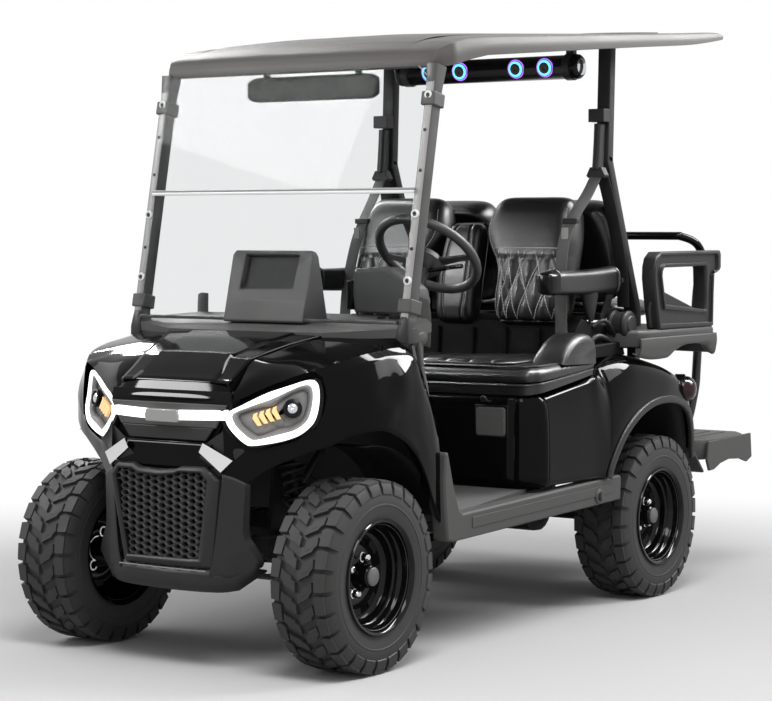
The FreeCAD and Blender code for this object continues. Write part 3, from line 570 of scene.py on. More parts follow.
def dress_nodes():
    """Gives every packed node that stays visible its own finish."""
    for thing in list(bpy.data.objects):
        finish = NODE_FINISHES.get(thing.name.split(".")[0])
        if thing.type != "MESH" or finish is None:
            continue
        for slot in thing.material_slots:
            slot.link = "OBJECT"
            slot.material = FINISHES[finish]
        if not thing.material_slots:
            thing.data.materials.append(FINISHES[finish])


# Nose

def fender_top_net():
    """From the hood's edge outward to the ridge, front to back."""
    return [
        [(203, -215, 805), (207, -225, 794), (213, -233, 774)],
        [(204, -190, 831), (232, -208, 815), (259, -213, 795)],
        [(206, -160, 858), (254, -182, 842), (304, -188, 819)],
        [(209, -117, 892), (290, -134, 874), (362, -153, 846)],
        [(225, -55, 911), (318, -88, 892), (404, -132, 862)],
        [(250, 0, 927), (345, -42, 906), (426, -118, 868)],
        [(270, 48, 939), (372, 2, 918), (464, -58, 890)],
        [(292, 102, 950), (400, 66, 930), (492, 22, 908)],
        [(400, 152, 948), (455, 146, 940), (505, 110, 922)],
        [(488, 204, 948), (502, 200, 940), (516, 190, 922)],
    ]


def fender_side_net():
    """From the ridge down over the flank and the crease to the arch lip, front to back."""
    return [[(426, -118, 868), (446, -104, 850), (456, -100, 800), (452, -108, 752), (436, -124, 706),
        (428, -126, 646)], [(464, -58, 890), (488, -44, 872), (498, -54, 822), (500, -68, 772),
        (484, -88, 734), (474, -96, 663)],
        [(492, 22, 908), (518, 34, 890), (536, 4, 842), (544, -14, 800), (540, -30, 768), (523, -50, 693)],
        [(500, 84, 918), (526, 96, 899), (550, 82, 852), (560, 62, 800), (568, 52, 752), (559, 29, 700)],
        [(508, 132, 922), (532, 146, 902), (563, 132, 848), (571, 122, 792), (571, 108, 738), (567, 92, 681)],
        [(516, 176, 924), (538, 190, 899), (564, 184, 838), (571, 176, 776), (571, 164, 712),
        (570, 150, 650)], [(520, 206, 922), (542, 218, 892), (564, 222, 820), (570, 218, 746),
        (571, 210, 676), (569, 202, 607)], [(522, 230, 912), (543, 240, 874), (562, 252, 786),
        (568, 254, 700), (570, 250, 622), (569, 243, 550)], [(522, 250, 896), (542, 262, 846),
        (560, 282, 742), (566, 290, 650), (568, 290, 560), (568, 282, 475)], [(521, 266, 872),
        (540, 286, 800), (556, 314, 690), (562, 326, 590), (565, 332, 490), (563, 330, 405)]]


def make_front_body():
    """Fenders, nose and liners: patches through nets of points, and flat plates between them."""
    top = patch(fender_top_net(), 6, 6)
    side = patch(fender_side_net(), 6, 5, corners_v=(1, 4))
    under = patch([[(206, -255, 712), (209, -254, 640), (211, -253, 583), (213, -250, 560)],
        [(240, -242, 672), (246, -232, 636), (248, -231, 607), (262, -221, 553)],
        [(283, -218, 648), (287, -211, 640), (290, -207, 634), (307, -195, 586)],
        [(330, -194, 657), (334, -186, 654), (338, -181, 650), (345, -174, 608)],
        [(384, -164, 676), (388, -154, 672), (390, -150, 667), (392, -147, 630)],
        [(426, -132, 708), (432, -128, 706), (436, -124, 700), (428, -126, 646)]], 6, 4, corners_v=(2,))
    lip = np.vstack([under[:, -1], side[1:, -1]])
    turned_in = np.stack([lip, lip + np.array([-3.0, 0, -6]), lip + np.array([-12.0, 3, -6]),
        lip + np.array([-40.0, 10, 10.0])], 1)
    piece("front_fenders", both([surface(top), surface(side), surface(turned_in)]), "gloss",
        replaces=("front_body",), sharp=34, closed=False)
    piece("nose_undersides", both([surface(under)]), "gloss", sharp=30, closed=False)
    # Painted highlights: two pale facets on the nose, light colour standing for a lamp's reflection on the
    # gloss
    painted_highlight_facets = both([surface(np.array([[(146, -272, 661), (238, -252, 614)],
        [(132, -272, 634), (206, -267, 580)]], float))])
    cheek = both([surface(np.array([[(216, -250, 704), (262, -226, 640)],
        [(148, -260, 659), (235, -238, 614)]], float)),
        surface(np.array([[(134, -262, 633), (204, -254, 582)], [(110, -250, 600), (190, -250, 560)]],
        float))])
    piece("nose_cheeks", cheek, "satin", closed=False, sharp=10)
    piece("nose_facets", painted_highlight_facets, "painted_highlight", closed=False, sharp=10)
    grey_panel = plate([(-214, 770), (-176, 702), (176, 702), (214, 770)], 1, -252, -242)
    low_panel = plate([(-170, 702), (-142, 664), (142, 664), (170, 702)], 1, -254, -244)
    throat_line = sweep(rounded(4, 3, 1),
        np.array([(-150, -262, 640.0), (-138, -264, 654), (138, -264, 654), (150, -262, 640)]))
    throat = plate([(-168, 660), (-196, 596), (-150, 586), (150, 586), (196, 596), (168, 660)], 1, -256, -246)
    recess = plate(
        [(-215, 806), (-222, 770), (-150, 640), (-150, 570), (150, 570), (150, 640), (222, 770), (215, 806)],
        1, -238, -228)
    arms = both([plate([(150, 600), (405, 640), (425, 800), (400, 842), (150, 812)], 1, -104, -96)])
    # The recess plate and the plates inside the nose are dark sheets: painted shade in the nose's hollow
    piece("nose_recess", [recess] + arms, "black_and_painted_shade")
    piece("nose_grey_panel", [grey_panel], "grey", bevel=3.0)
    piece("nose_throat", [throat], "gloss", bevel=2.0)
    piece("nose_throat_line", [throat_line], "bezel")
    piece("nose_low_panel", [low_panel], "satin", bevel=3.0)
    points, faces = lathe([(350, 330), (351, 400), (352, 500), (352, 540)], 72, (0, 5, 300))
    faces = [f for f in faces if points[f].mean(axis=0)[2] > 420 and points[f].mean(axis=0)[1] > -40]
    used = np.unique(np.concatenate(faces))
    renumbered = np.zeros(len(points), int)
    renumbered[used] = np.arange(len(used))
    liner = (points[used], [renumbered[f].tolist() for f in faces])
    piece("wheel_liners", both([liner]), "black_and_painted_shade", closed=False, wall=2.0)


def make_hood():
    """The hood: rows across it from front to back, level out to a crease and falling at the sides."""
    def row(y, edge, level, crease, crown):
        """One line across: height = level + crown, with a third of the crown left at the crease."""
        inner = crease - 10
        return [(-edge, y, level), (-crease, y, level + crown * 0.35), (-inner, y, level + crown * 0.9),
            (-inner * 0.5, y, level + crown), (0, y, level + crown), (inner * 0.5, y, level + crown),
            (inner, y, level + crown * 0.9), (crease, y, level + crown * 0.35), (edge, y, level)]
    rows = [row(-218, 200, 828, 156, 3), row(-212, 201, 832, 154, 6), row(-200, 202, 838, 152, 9),
        row(-165, 203, 860, 146, 14), row(-122, 206, 889, 140, 16), row(-112, 208, 894, 140, 10),
        row(0, 246, 927, 168, 11), row(60, 270, 941, 184, 10), row(104, 292, 951, 196, 8)]
    top = patch(rows, 7, 5, corners_u=(4, 5), corners_v=(1, 2, 6, 7))
    lip = np.stack([top[0], top[0] + np.array([0.0, 10, -18]), top[0] + np.array([0.0, 34, -24])])
    piece("hood_panel", [surface(top), surface(lip[::-1])], "gloss", replaces=("hood",), wall=4.0, sharp=24,
        closed=False)
    brim = np.stack([np.stack([np.linspace(-1, 1, 25) * half, y + 12 * np.linspace(-1, 1, 25) ** 4,
        z + 0 * np.linspace(-1, 1, 25)], -1) for half, y, z in ((198, -214, 832), (201, -221, 829),
        (204, -232, 808), (206, -243, 786), (205, -242, 781), (198, -228, 777))])
    piece("hood_brim", [surface(brim)], "gloss", closed=False, sharp=20)


def lamp_outline():
    """The lamp's glowing ring: the middle of its band, on the lamp's leaning face."""
    return np.array([(212, -232, 744), (250, -205, 767), (290, -181, 787), (327, -159, 804), (362, -138, 820),
        (393, -118, 833), (413, -107, 832), (422, -103, 812), (424, -108, 770), (420, -122, 730),
        (404, -137, 706), (382, -153, 690), (340, -178, 676), (285, -211, 664), (266, -222, 670),
        (240, -231, 692), (220, -236, 716)], float)


def closed_curve(points, steps):
    """A smooth closed line: the open curve through the points three times round, middle turn kept."""
    points = np.array(points, float)
    count = len(points)
    line = curve(np.vstack([points, points, points, points[:1]]), steps)
    return line[count * steps:2 * count * steps]


def make_lamps():
    """The lamps: bands round the ring's line, with a point at line + a inward + b normal."""
    line = closed_curve(lamp_outline(), 5)
    centre = np.array([330.0, -170.0, 745.0])
    normal = np.array([0.462, -0.866, 0.188])
    inward = centre - line
    inward -= (inward @ normal)[:, None] * normal
    inward /= np.linalg.norm(inward, axis=1, keepdims=True)

    def band(offsets):
        """A strip round the lamp: line + inward a + normal b for each (a, b)."""
        return surface(np.stack([line + inward * a + normal * b for a, b in offsets]), close_v=True)
    ring = band([(-10, -6), (-10, 2), (-7, 5.5), (0, 7), (7, 5.5), (10, 2), (10, -6)])
    surround = band([(-24, -20), (-22, -2), (-11, 1), (-8, -4)])
    bezel = band([(9, 0), (14, 0.5), (19, 0), (24, -5), (30, -13)])
    back = band([(26, -14), (60, -17), (95, -17)])
    piece("lamp_rings", both([ring]), "glow", replaces=("front_lamps",), closed=False)
    piece("lamp_surrounds", both([surround]), "gloss_trim", wall=2.0, closed=False)
    piece("lamp_bezels", both([bezel, back]), "bezel", wall=2.0, closed=False)
    across = np.cross(normal, (0, 0, 1.0))
    across /= np.linalg.norm(across)
    if across[0] < 0:
        across = -across
    upward = np.cross(across, normal)
    if upward[2] < 0:
        upward = -upward

    def on_face(x, z, lift=0.0):
        """A point of the lamp face at a given x and z."""
        y = -236 + (normal[0] * (x - 212) + normal[2] * (z - 744)) / -normal[1]
        return np.array([x, y, z]) + normal * lift
    marks = []
    for step in range(4):
        tip = on_face(272.5, 733) + across * 18.3 * step + upward * 6.3 * step
        outline = [(0, 0), (3, 13), (13.5, 17.5), (12, 8.5), (26.5, -18.5), (15, -20.4)]
        layers = [[tip + across * a + upward * b + normal * lift for a, b in outline] for lift in (-16, -7)]
        marks.append(capped(np.array(layers)))
    piece("lamp_chevrons", both(marks), "amber")
    spot = on_face(371, 762)
    turn = np.linspace(0, 2 * math.pi, 28, endpoint=False)

    def disc_rows(rows):
        """Circles on the lamp's face: spot + r (cos t across + sin t upward) + h normal."""
        return np.stack([
            spot + np.outer(np.cos(turn), across) * r + np.outer(np.sin(turn), upward) * r + normal * h for r,
            h in rows])
    barrel = surface(disc_rows([(26, -16), (26, -2), (22, 0), (19, -4), (18.5, -12)]), close_v=True)
    dome = disc_rows([(18.5, -12), (17, -6), (13, -2), (7, 0.5), (0.5, 1.2)])
    piece("projector_barrels", both([barrel]), "gloss_trim", closed=False, wall=1.0)
    piece("projector_lenses", both([surface(dome, close_v=True)]), "lens", closed=False, wall=1.0)
    bar_path = np.array([
        (x, -266.0 + abs(x) ** 3 * 2.6e-6, 735.0 + abs(x) * 0.03) for x in np.linspace(-214, 214, 25)])
    bar = sweep(rounded(14, 29, 5), bar_path)
    piece("lamp_bar", [bar], "glow")
    badge = plate([(-56, 752), (-62, 734), (-58, 716), (58, 716), (62, 734), (56, 752)], 1, -281, -262)
    piece("lamp_bar_box", [badge], "bar_box", bevel=2.5)


def make_grille():
    """A mesh of hexagon walls in a tapering frame: cell (i, j) stands at (i p, j q + (i mod 2) q / 2)."""
    pitch_x, pitch_z = 27.8, 19.3
    top, bottom = 572.0, 318.0
    column, level = np.meshgrid(np.arange(-7, 8), np.arange(-1, 15), indexing="ij")
    x = (column * pitch_x - 8).ravel()
    z = (bottom + level * pitch_z + (column % 2) * pitch_z / 2).ravel()
    reach = 122 + (z - bottom) / (top - bottom) * 52
    kept = (np.abs(x) < reach + 8) & (z < top + 2)
    x, z = x[kept], z[kept]
    hexagon = np.array([(-0.667, 0), (-0.333, 0.5), (0.333, 0.5), (0.667, 0), (0.333, -0.5), (-0.333, -0.5)])
    hexagon = hexagon * (pitch_x, pitch_z)
    layers = np.zeros((len(x), 4, 6, 3))
    for row, (size, depth) in enumerate(((1.0, -266.0), (0.84, -268.5), (0.76, -265.5), (0.66, -253.0))):
        layers[:, row, :, 0] = x[:, None] + hexagon[None, :, 0] * size
        layers[:, row, :, 1] = depth
        layers[:, row, :, 2] = z[:, None] + hexagon[None, :, 1] * size
    points = layers.reshape(-1, 3)
    ring = np.arange(6)
    cell = np.concatenate([np.stack(
        [row * 6 + ring, row * 6 + (ring + 1) % 6, (row + 1) * 6 + (ring + 1) % 6, (row + 1) * 6 + ring],
        -1) for row in range(3)])
    faces = (np.arange(len(x))[:, None, None] * 24 + cell[None]).reshape(-1, 4).tolist()
    mesh_part = (points, faces)
    backing = plate([(-172, 572), (-134, 318), (134, 318), (172, 572)], 1, -252, -247)
    outer = np.array([(-172, 591), (-204, 556), (-150, 300), (-110, 300), (0, 298), (120, 300), (174, 303),
        (198, 556), (150, 592), (64, 590), (46, 583), (0, 578), (-24, 577), (-94, 581), (-112, 592)], float)
    inner = np.array([(-170, 572), (-182, 550), (-137, 323), (-100, 324), (0, 325), (90, 326), (124, 328),
        (158, 553), (134, 574), (56, 572), (36, 564), (0, 560), (-34, 558), (-96, 561), (-122, 573)], float)

    def ring_at(line, depth):
        """An (x, z) outline at one depth."""
        return np.stack([line[:, 0], np.full(len(line), depth), line[:, 1]], -1)
    frame_rows = np.stack([ring_at(outer, -240), ring_at(outer, -264),
        ring_at(outer * 0.8 + inner * 0.2, -272), ring_at(outer * 0.3 + inner * 0.7, -276),
        ring_at(inner, -270), ring_at(inner, -250)])
    piece("grille_mesh", [mesh_part], "mesh", replaces=("grille",), closed=False, sharp=20)
    piece("grille_backing", [backing], "black_and_painted_shade", bevel=1.0)
    piece("grille_frame", [surface(frame_rows, close_v=True)], "satin", closed=False, bevel=2.5)


def make_bumper():
    """The chin and wings: patches through stations from side to side."""
    def station(x, y, low, high, bulge):
        """One section of the chin, from its top lip over a bulge to its foot."""
        return [(x, y + 26, high + 6), (x, y + 4, high), (x, y - bulge, (low * 0.35 + high * 0.65)),
            (x, y - bulge * 0.7, low * 0.75 + high * 0.25), (x, y + 6, low), (x, y + 34, low - 6)]
    chin = patch([station(-293, -200, 304, 336, 3), station(-222, -238, 248, 306, 3),
        station(-160, -258, 239, 300, 4), station(0, -262, 235, 294, 5), station(160, -258, 239, 300, 4),
        station(222, -238, 248, 306, 3), station(293, -200, 304, 336, 3)], 5, 5, corners_u=(1, 5),
        corners_v=(1, 4))
    piece("bumper_chin", [surface(chin)], "satin", replaces=("front_bumper",), wall=5.0, closed=False,
        sharp=30)
    wing = patch([[(205, -257, 574), (232, -242, 566), (262, -223, 550), (268, -206, 548)],
        [(196, -261, 500), (226, -246, 494), (258, -226, 486), (266, -206, 484)],
        [(186, -264, 400), (220, -250, 400), (256, -228, 404), (266, -206, 404)],
        [(176, -267, 330), (222, -252, 334), (272, -222, 366), (284, -200, 370)],
        [(166, -268, 292), (216, -254, 296), (294, -208, 326), (302, -190, 332)],
        [(168, -266, 280), (220, -250, 280), (290, -208, 304), (298, -190, 310)]], 6, 5, corners_u=(3,),
        corners_v=(1, 2))
    piece("bumper_wings", both([surface(wing)]), "satin", wall=4.0, closed=False, sharp=24)
    line = sweep(rounded(5, 4, 1.5),
        np.array([(x, -284.0 + abs(x) * 0.03, 296.0) for x in np.linspace(-160, 160, 19)]))
    piece("bumper_light_line", [line], "bezel")


# Cowl, dash and screen

def make_cowl():
    """The crowned cowl top, its vents and the monitor's hood: rows across, highest in the middle."""
    rows = []
    for y, half, centre_z, edge_z in ((104, 292, 952, 944), (150, 372, 966, 944), (200, 476, 976, 946),
            (228, 518, 980, 950), (300, 528, 990, 966), (420, 452, 1004, 990)):
        rows.append([(-half, y, edge_z), (-half * 0.94, y, edge_z + 10), (-half * 0.7, y, centre_z - 4),
            (-half * 0.3, y, centre_z), (half * 0.3, y, centre_z), (half * 0.7, y, centre_z - 4),
            (half * 0.94, y, edge_z + 10), (half, y, edge_z)])
    top = patch(rows, 6, 5, corners_v=(1, 6))
    first = np.stack([top[0], top[0] + np.array([0, -2.0, -16]), top[0] + np.array([0, 14.0, -30])])
    left = np.stack([top[:, -1], top[:, -1] + np.array([2.0, 0, -14]), top[:, -1] + np.array([-4.0, 6, -34])])
    parts = [surface(top), surface(first[::-1]), surface(left)]
    right = mirrored(parts[2])
    piece("cowl_top", parts + [right], "grey", wall=3.0, closed=False, sharp=34)
    vents = []
    for x in (330, 372, 414):
        vents.append(plate([(x - 13, 352), (x + 13, 352), (x + 13, 362), (x - 13, 362)], 2, 998, 1004))
    switch = brick(352, 386, 372, 392, 1000, 1012)
    piece("cowl_slots", [turned_about(v, (372, 357, 1000), (1, 0, 0), 0.02) for v in vents] + [switch],
        "gloss_trim", bevel=1.5)
    front = np.array([(-152, 197, 985), (152, 197, 985), (158, 246, 1188), (150, 252, 1203),
        (-142, 252, 1203), (-150, 246, 1188)], float)
    rear = np.array([(-140, 338, 985), (146, 338, 985), (150, 286, 1184), (142, 282, 1199), (-134, 282, 1199),
        (-142, 286, 1184)], float)
    window = np.array([(-108, 223, 1086), (96, 223, 1088), (104, 248, 1190), (-100, 248, 1190)], float)
    back = (0.0, 26.0, -6.0)
    sink = window + back
    shell_points = np.vstack([front, rear, window, sink])
    shell_faces = [[0, 1, 13, 12], [1, 2, 14, 13], [2, 3, 14], [3, 4, 15, 14], [4, 5, 15], [5, 0, 12, 15],
        [12, 13, 17, 16], [13, 14, 18, 17], [14, 15, 19, 18], [15, 12, 16, 19], [16, 17, 18, 19]]
    shell_faces += [[i, i + 6, (i + 1) % 6 + 6, (i + 1) % 6] for i in range(6)] + [[11, 10, 9, 8, 7, 6]]
    piece("monitor_hood", [(shell_points, shell_faces)], "grey", replaces=("monitor_pod",), bevel=5.0,
        sharp=50)
    glass = np.array([window * 0.97 + window.mean(axis=0) * 0.03 + (0, 20, -5),
        window * 0.95 + window.mean(axis=0) * 0.05 + (0, 24, -5)])
    piece("monitor_panel", [capped(glass)], "satin", bevel=1.0)


def make_binnacle():
    """The instrument hood and dash panels: an (x, z) outline carried back along y, and patches."""
    hood = np.array([[(176, y, 1070), (180, y, 1148 - d), (300, y, 1154 - d), (392, y, 1096 - d),
        (402, y, 1050), (392, y, 1008), (184, y, 1012)] for y,
        d in ((424, 10), (432, 0), (505, 4), (520, 14))])
    dark = brick(152, 174, 426, 500, 1020, 1110)
    end = patch([[(398, 420, 1062), (420, 424, 1064), (446, 440, 1058)],
        [(398, 418, 1000), (424, 424, 1000), (452, 444, 996)],
        [(398, 420, 930), (422, 426, 920), (448, 446, 910)]], 4, 4)
    piece("binnacle_shell", [capped(hood)], "grey", replaces=("dash_console",), bevel=6.0)
    piece("binnacle_box", [dark], "gloss_trim", bevel=4.0)
    piece("dash_end_panels", both([surface(end)]), "grey", wall=14.0, closed=False, bevel=2.0)
    lower = patch([[(-400, 424, 1000), (0, 418, 1004), (400, 424, 1000)],
        [(-410, 446, 930), (0, 440, 930), (410, 446, 930)],
        [(-400, 430, 850), (0, 428, 850), (400, 430, 850)]], 5, 8)
    piece("dash_lower_panel", [surface(lower)], "satin", wall=6.0, closed=False)


def lean_y(z):
    """The windshield's middle surface at a height: its foot + (z - 990) tan(lean)."""
    return 200 + (z - 990) * math.tan(angle("screen_lean"))


def make_screen():
    """Pillars, clamps, panes and seams on one leaning line: y = lean_y(z) + an offset."""
    posts, clamps, bolts, heads, fronts, rivets = [], [], [], [], [], []
    pillar_x, lean = length("pillar_offset"), angle("screen_lean")
    for sign in (1, -1):
        fronts.append(sweep(rounded(27, 2.5, 1.0),
            np.array([(sign * pillar_x, lean_y(z) + 10.5, z) for z in np.linspace(992, 1745, 6)]), (0, 1, 0)))
        for z in (1210, 1440, 1560):
            rivets.append(lathe_y((sign * pillar_x, lean_y(z) + 10, z), [(5, 0), (4.5, -2.5), (0.2, -3.5)]))
        path = np.array([(sign * pillar_x, lean_y(z) + 34, z) for z in np.linspace(985, 1752, 12)])
        size = np.interp(np.linspace(985, 1752, 12), [985, 1700, 1752], [1.0, 1.0, 1.25])
        posts.append(sweep(rounded(32, 46, 5), path, (0, 1, 0), size))
        for z in (1046, 1656):
            block = turned_about(brick(sign * pillar_x - 24, sign * pillar_x + 24, lean_y(z) + 4,
                lean_y(z) + 62, z - 21, z + 21), (0, lean_y(z), z), (1, 0, 0), -lean)
            clamps.append(block)
        for z in (1117, 1313, 1663):
            y = lean_y(z) + 11
            bolts.append(lathe_y((sign * pillar_x, y, z), [(13, 0), (13, -6), (11, -8), (7.5, -8), (7, -4)]))
            heads.append(lathe_y((sign * pillar_x, y, z), [(6.5, -3), (6.5, -7), (5, -9), (0.2, -9.5)]))
    boots = []
    for sign in (1, -1):
        foot = np.array([
            [(sign * (pillar_x + a * s), 240 + b * s + c, z) for a, b in rounded(40, 62, 9, 3)] for z, s,
            c in ((934, 1.2, -2), (962, 1.1, -6), (990, 0.9, -6), (1010, 0.78, -4), (1014, 0.7, -3))])
        boots.append(capped(foot))
    piece("pillar_tubes", posts, "pillar", replaces=("front_pillars",))
    piece("pillar_clamps", clamps, "grey", bevel=4.0)
    piece("pillar_boots", boots, "satin", bevel=1.5)
    piece("pillar_bolt_rings", bolts, "white_plastic", closed=False, wall=0.5)
    piece("pillar_bolt_heads", heads + rivets, "steel", closed=False, wall=0.5)
    piece("pillar_faces", fronts, "pillar_face")

    def pane(z_low, z_high, top_cut):
        """A pane between two heights, its top corners cut, leaning with lean_y."""
        outline = [(-500, z_low), (500, z_low), (500, z_high - top_cut), (500 - top_cut * 1.2, z_high),
            (-500 + top_cut * 1.2, z_high), (-500, z_high - top_cut)]
        layers = [[(x, lean_y(z) + 4 + depth, z) for x, z in outline] for depth in (-2.5, 2.5)]
        return capped(np.array(layers))
    piece("screen_lower_pane", [pane(990, 1380, 0)], "acrylic", replaces=("windshield_lower",))
    piece("screen_upper_pane", [pane(1384, 1750, 30)], "acrylic", replaces=("windshield_upper",))
    strip = sweep(rounded(9, 10, 2),
        np.array([(x, lean_y(1382) + 3, 1378.0) for x in np.linspace(-500, 500, 3)]))
    # A grey line along the seam: painted shadow of the seam strip on the pane
    seam_shadow_line = sweep(rounded(5, 8, 1.5),
        np.array([(x, lean_y(1378) + 2, 1386.0) for x in np.linspace(-500, 500, 3)]))
    piece("screen_seam", [strip], "white_plastic")
    piece("screen_seam_shadow", [seam_shadow_line], "bezel")
    seal = sweep(rounded(9, 10, 2),
        np.array([(x, lean_y(1000) + 6, 994.0) for x in np.linspace(-490, 490, 3)]))
    piece("screen_seal", [seal], "grip")


def make_mirror():
    """A long bar mirror: a rounded section along the shallow arc y = 455 + 4 (x / 246)^2."""
    path = np.array([(x, 455 + (x / 246.0) ** 2 * 4, 1705) for x in np.linspace(-246, 246, 41)])
    size = np.clip(1 - (np.abs(path[:, 0]) / 246) ** 40, 0.7, 1)
    body = sweep(rounded(34, 78, 14, 5), path, (0, 0, 1), size)
    glass_path = np.array([(x, 473.5, 1705) for x in np.linspace(-232, 232, 9)])
    glass = sweep(rounded(3, 64, 1.4), glass_path)
    stems = [sweep(rounded(24, 12, 4), np.array([(s * 176.0, 458.0, z) for z in np.linspace(1736, 1792, 6)]),
        (0, 1, 0)) for s in (-1, 1)]
    piece("mirror_body", [body], "gloss_trim", replaces=("mirror",), sharp=50)
    piece("mirror_glass", [glass], "chrome")
    piece("mirror_stems", stems, "gloss_trim", bevel=1.0)


def make_roof():
    """A long canopy: sections across it, each with its fascia edge, shoulder and crowned, channelled top."""
    ys = np.array([368, 380, 400, 437, 520, 632, 760, 1000, 1300, 1600, 1900, 2060, 2104, 2130], float)
    low = np.interp(ys, [368, 395, 437, 520, 632, 1300, 1950, 2060, 2130],
        [1750, 1747, 1754, 1774, 1796, 1856, 1912, 1930, 1944])
    high = np.interp(ys, [368, 380, 414, 520, 700, 1300, 1950, 2070, 2130],
        [1768, 1796, 1822, 1843, 1860, 1904, 1952, 1962, 1954])
    half = np.interp(ys, [340, 360, 390, 437, 900, 1300, 1950, 2060, 2110, 2146],
        [470, 496, 518, 540, 556, 574, 598, 606, 598, 560])
    fade = smoothstep(430, 640, ys) * (1 - smoothstep(1960, 2090, ys))
    crown = np.interp(ys, [368, 414, 600, 1400, 1900, 2130], [2, 8, 22, 14, 8, 4])
    rows = []
    for y, a, b, h, f, c in zip(ys, low, high, half, fade, crown):
        side = [(h - 20, a), (h, a + 2), (h + 2, (a + b) / 2), (h - 4, b - 5), (h - 34, b + c * 0.1),
            (h - 96, b + c * 0.3), (h - 106, b + c * 0.3 - 9 * f), (h - 134, b + c * 0.4 - 9 * f),
            (h - 146, b + c * 0.55), (h * 0.42, b + c * 0.95), (h * 0.10, b + c)]
        line = [(x, y, z) for x, z in side]
        rows.append(line + [(-x, yy, z) for x, yy, z in line[::-1]])
    net = np.array(rows)
    top = patch(net, 5, 3, corners_u=(3, 5), corners_v=(1, 3, 6, 7, 14, 15, 18, 20))
    left, right = top[:, 0], top[:, -1]
    t = np.linspace(0, 1, 13)[None, :, None]
    belly = left[:, None] * (1 - t) + right[:, None] * t
    raised = smoothstep(0, 0.12, t[0, :, 0]) * smoothstep(0, 0.12, 1 - t[0, :, 0])
    along = smoothstep(395, 470, top[:, 0, 1]) * (1 - smoothstep(2040, 2100, top[:, 0, 1]))
    belly[..., 2] += np.minimum(raised[None] * along[:, None] * 40,
        np.maximum((top[:, top.shape[1] // 2, 2] - belly[:, 0, 2])[:, None] - 16, 0))
    front = np.stack([np.stack([left[0] * (1 - k) + right[0] * k for k in np.linspace(0, 1, top.shape[1])]),
        top[0]])
    back = np.stack([np.stack([left[-1] * (1 - k) + right[-1] * k for k in np.linspace(0, 1, top.shape[1])]),
        top[-1]])
    piece("roof_canopy", [surface(top), surface(belly), surface(front), surface(back)], "roof",
        replaces=("roof",), sharp=26)
    groove = sweep(rounded(7, 5, 1),
        np.array([(x, 1930.0, 1957.0 + 12 * (1 - (x / 430) ** 2)) for x in np.linspace(-430, 430, 25)]))
    piece("roof_groove", [groove], "gloss_trim")


def make_sound_bar():
    """A turned tube with end lenses, and lit rings along it."""
    tube_profile = [(0, -372), (34, -372), (40, -368), (43, -360), (43, -330), (41, -327), (41, 327),
        (43, 330), (43, 352), (41, 362), (36, 368), (30, 370)]
    piece("sound_bar_tube", [lathe(tube_profile, 40, (0, 1496, 1818))], "gloss_trim", replaces=("sound_bar",))
    lens = [(30, 366), (29, 371), (20, 375), (8, 377), (0.3, 377.5)]
    piece("sound_bar_end_lens", [lathe(lens, 32, (0, 1496, 1818)), lathe(lens, 32, (0, 1496, 1818), -1)],
        "lens", closed=False)

    def ring(x, finish, name, radius, tube_radius=4.0):
        """A ring and its cone: centre + R (cos t, sin t), with a tube of radius r round that line."""
        turn = full_turn(40)
        centre = np.array([x, 1496 - 39.0, 1818 - 2])
        facing = np.array([0.0, -0.985, -0.17])
        up = np.array([0.0, -0.17, 0.985])
        line = (centre + np.outer(np.cos(turn), (1.0, 0, 0)) * radius + np.outer(np.sin(turn), up) * radius)
        grid = np.stack([line + (line - centre) / radius * (tube_radius * math.cos(k)) + facing
            * (tube_radius * math.sin(k)) for k in full_turn(8)])
        piece(name, [surface(grid, close_u=True, close_v=True)], finish)
        disc = np.stack([centre + (line - centre) * s + facing * h for s,
            h in ((1, 0), (0.8, 5), (0.4, 7), (0.01, 7.5))])
        piece(name + "_cone", [surface(disc, close_v=True)], "grip", closed=False, wall=1.0)
    for index, x in enumerate((-222, -94, 134, 249)):
        ring(x, "cyan", "speaker_ring_%d" % index, 21, 7.5)
        ring(x, "violet", "speaker_rim_%d" % index, 30, 2.6)
    hangers = [brick(s * 330 - 15, s * 330 + 15, 1484, 1508, 1836, 1920) for s in (-1, 1)]
    collars = [lathe([(41, s * 330 - 14), (46, s * 330 - 13), (46, s * 330 + 13), (41, s * 330 + 14)], 36,
        (0, 1496, 1818)) for s in (-1, 1)]
    piece("sound_bar_hangers", hangers, "steel", bevel=2.0)
    piece("sound_bar_collars", collars, "steel", closed=False, wall=1.0)


# Rear body

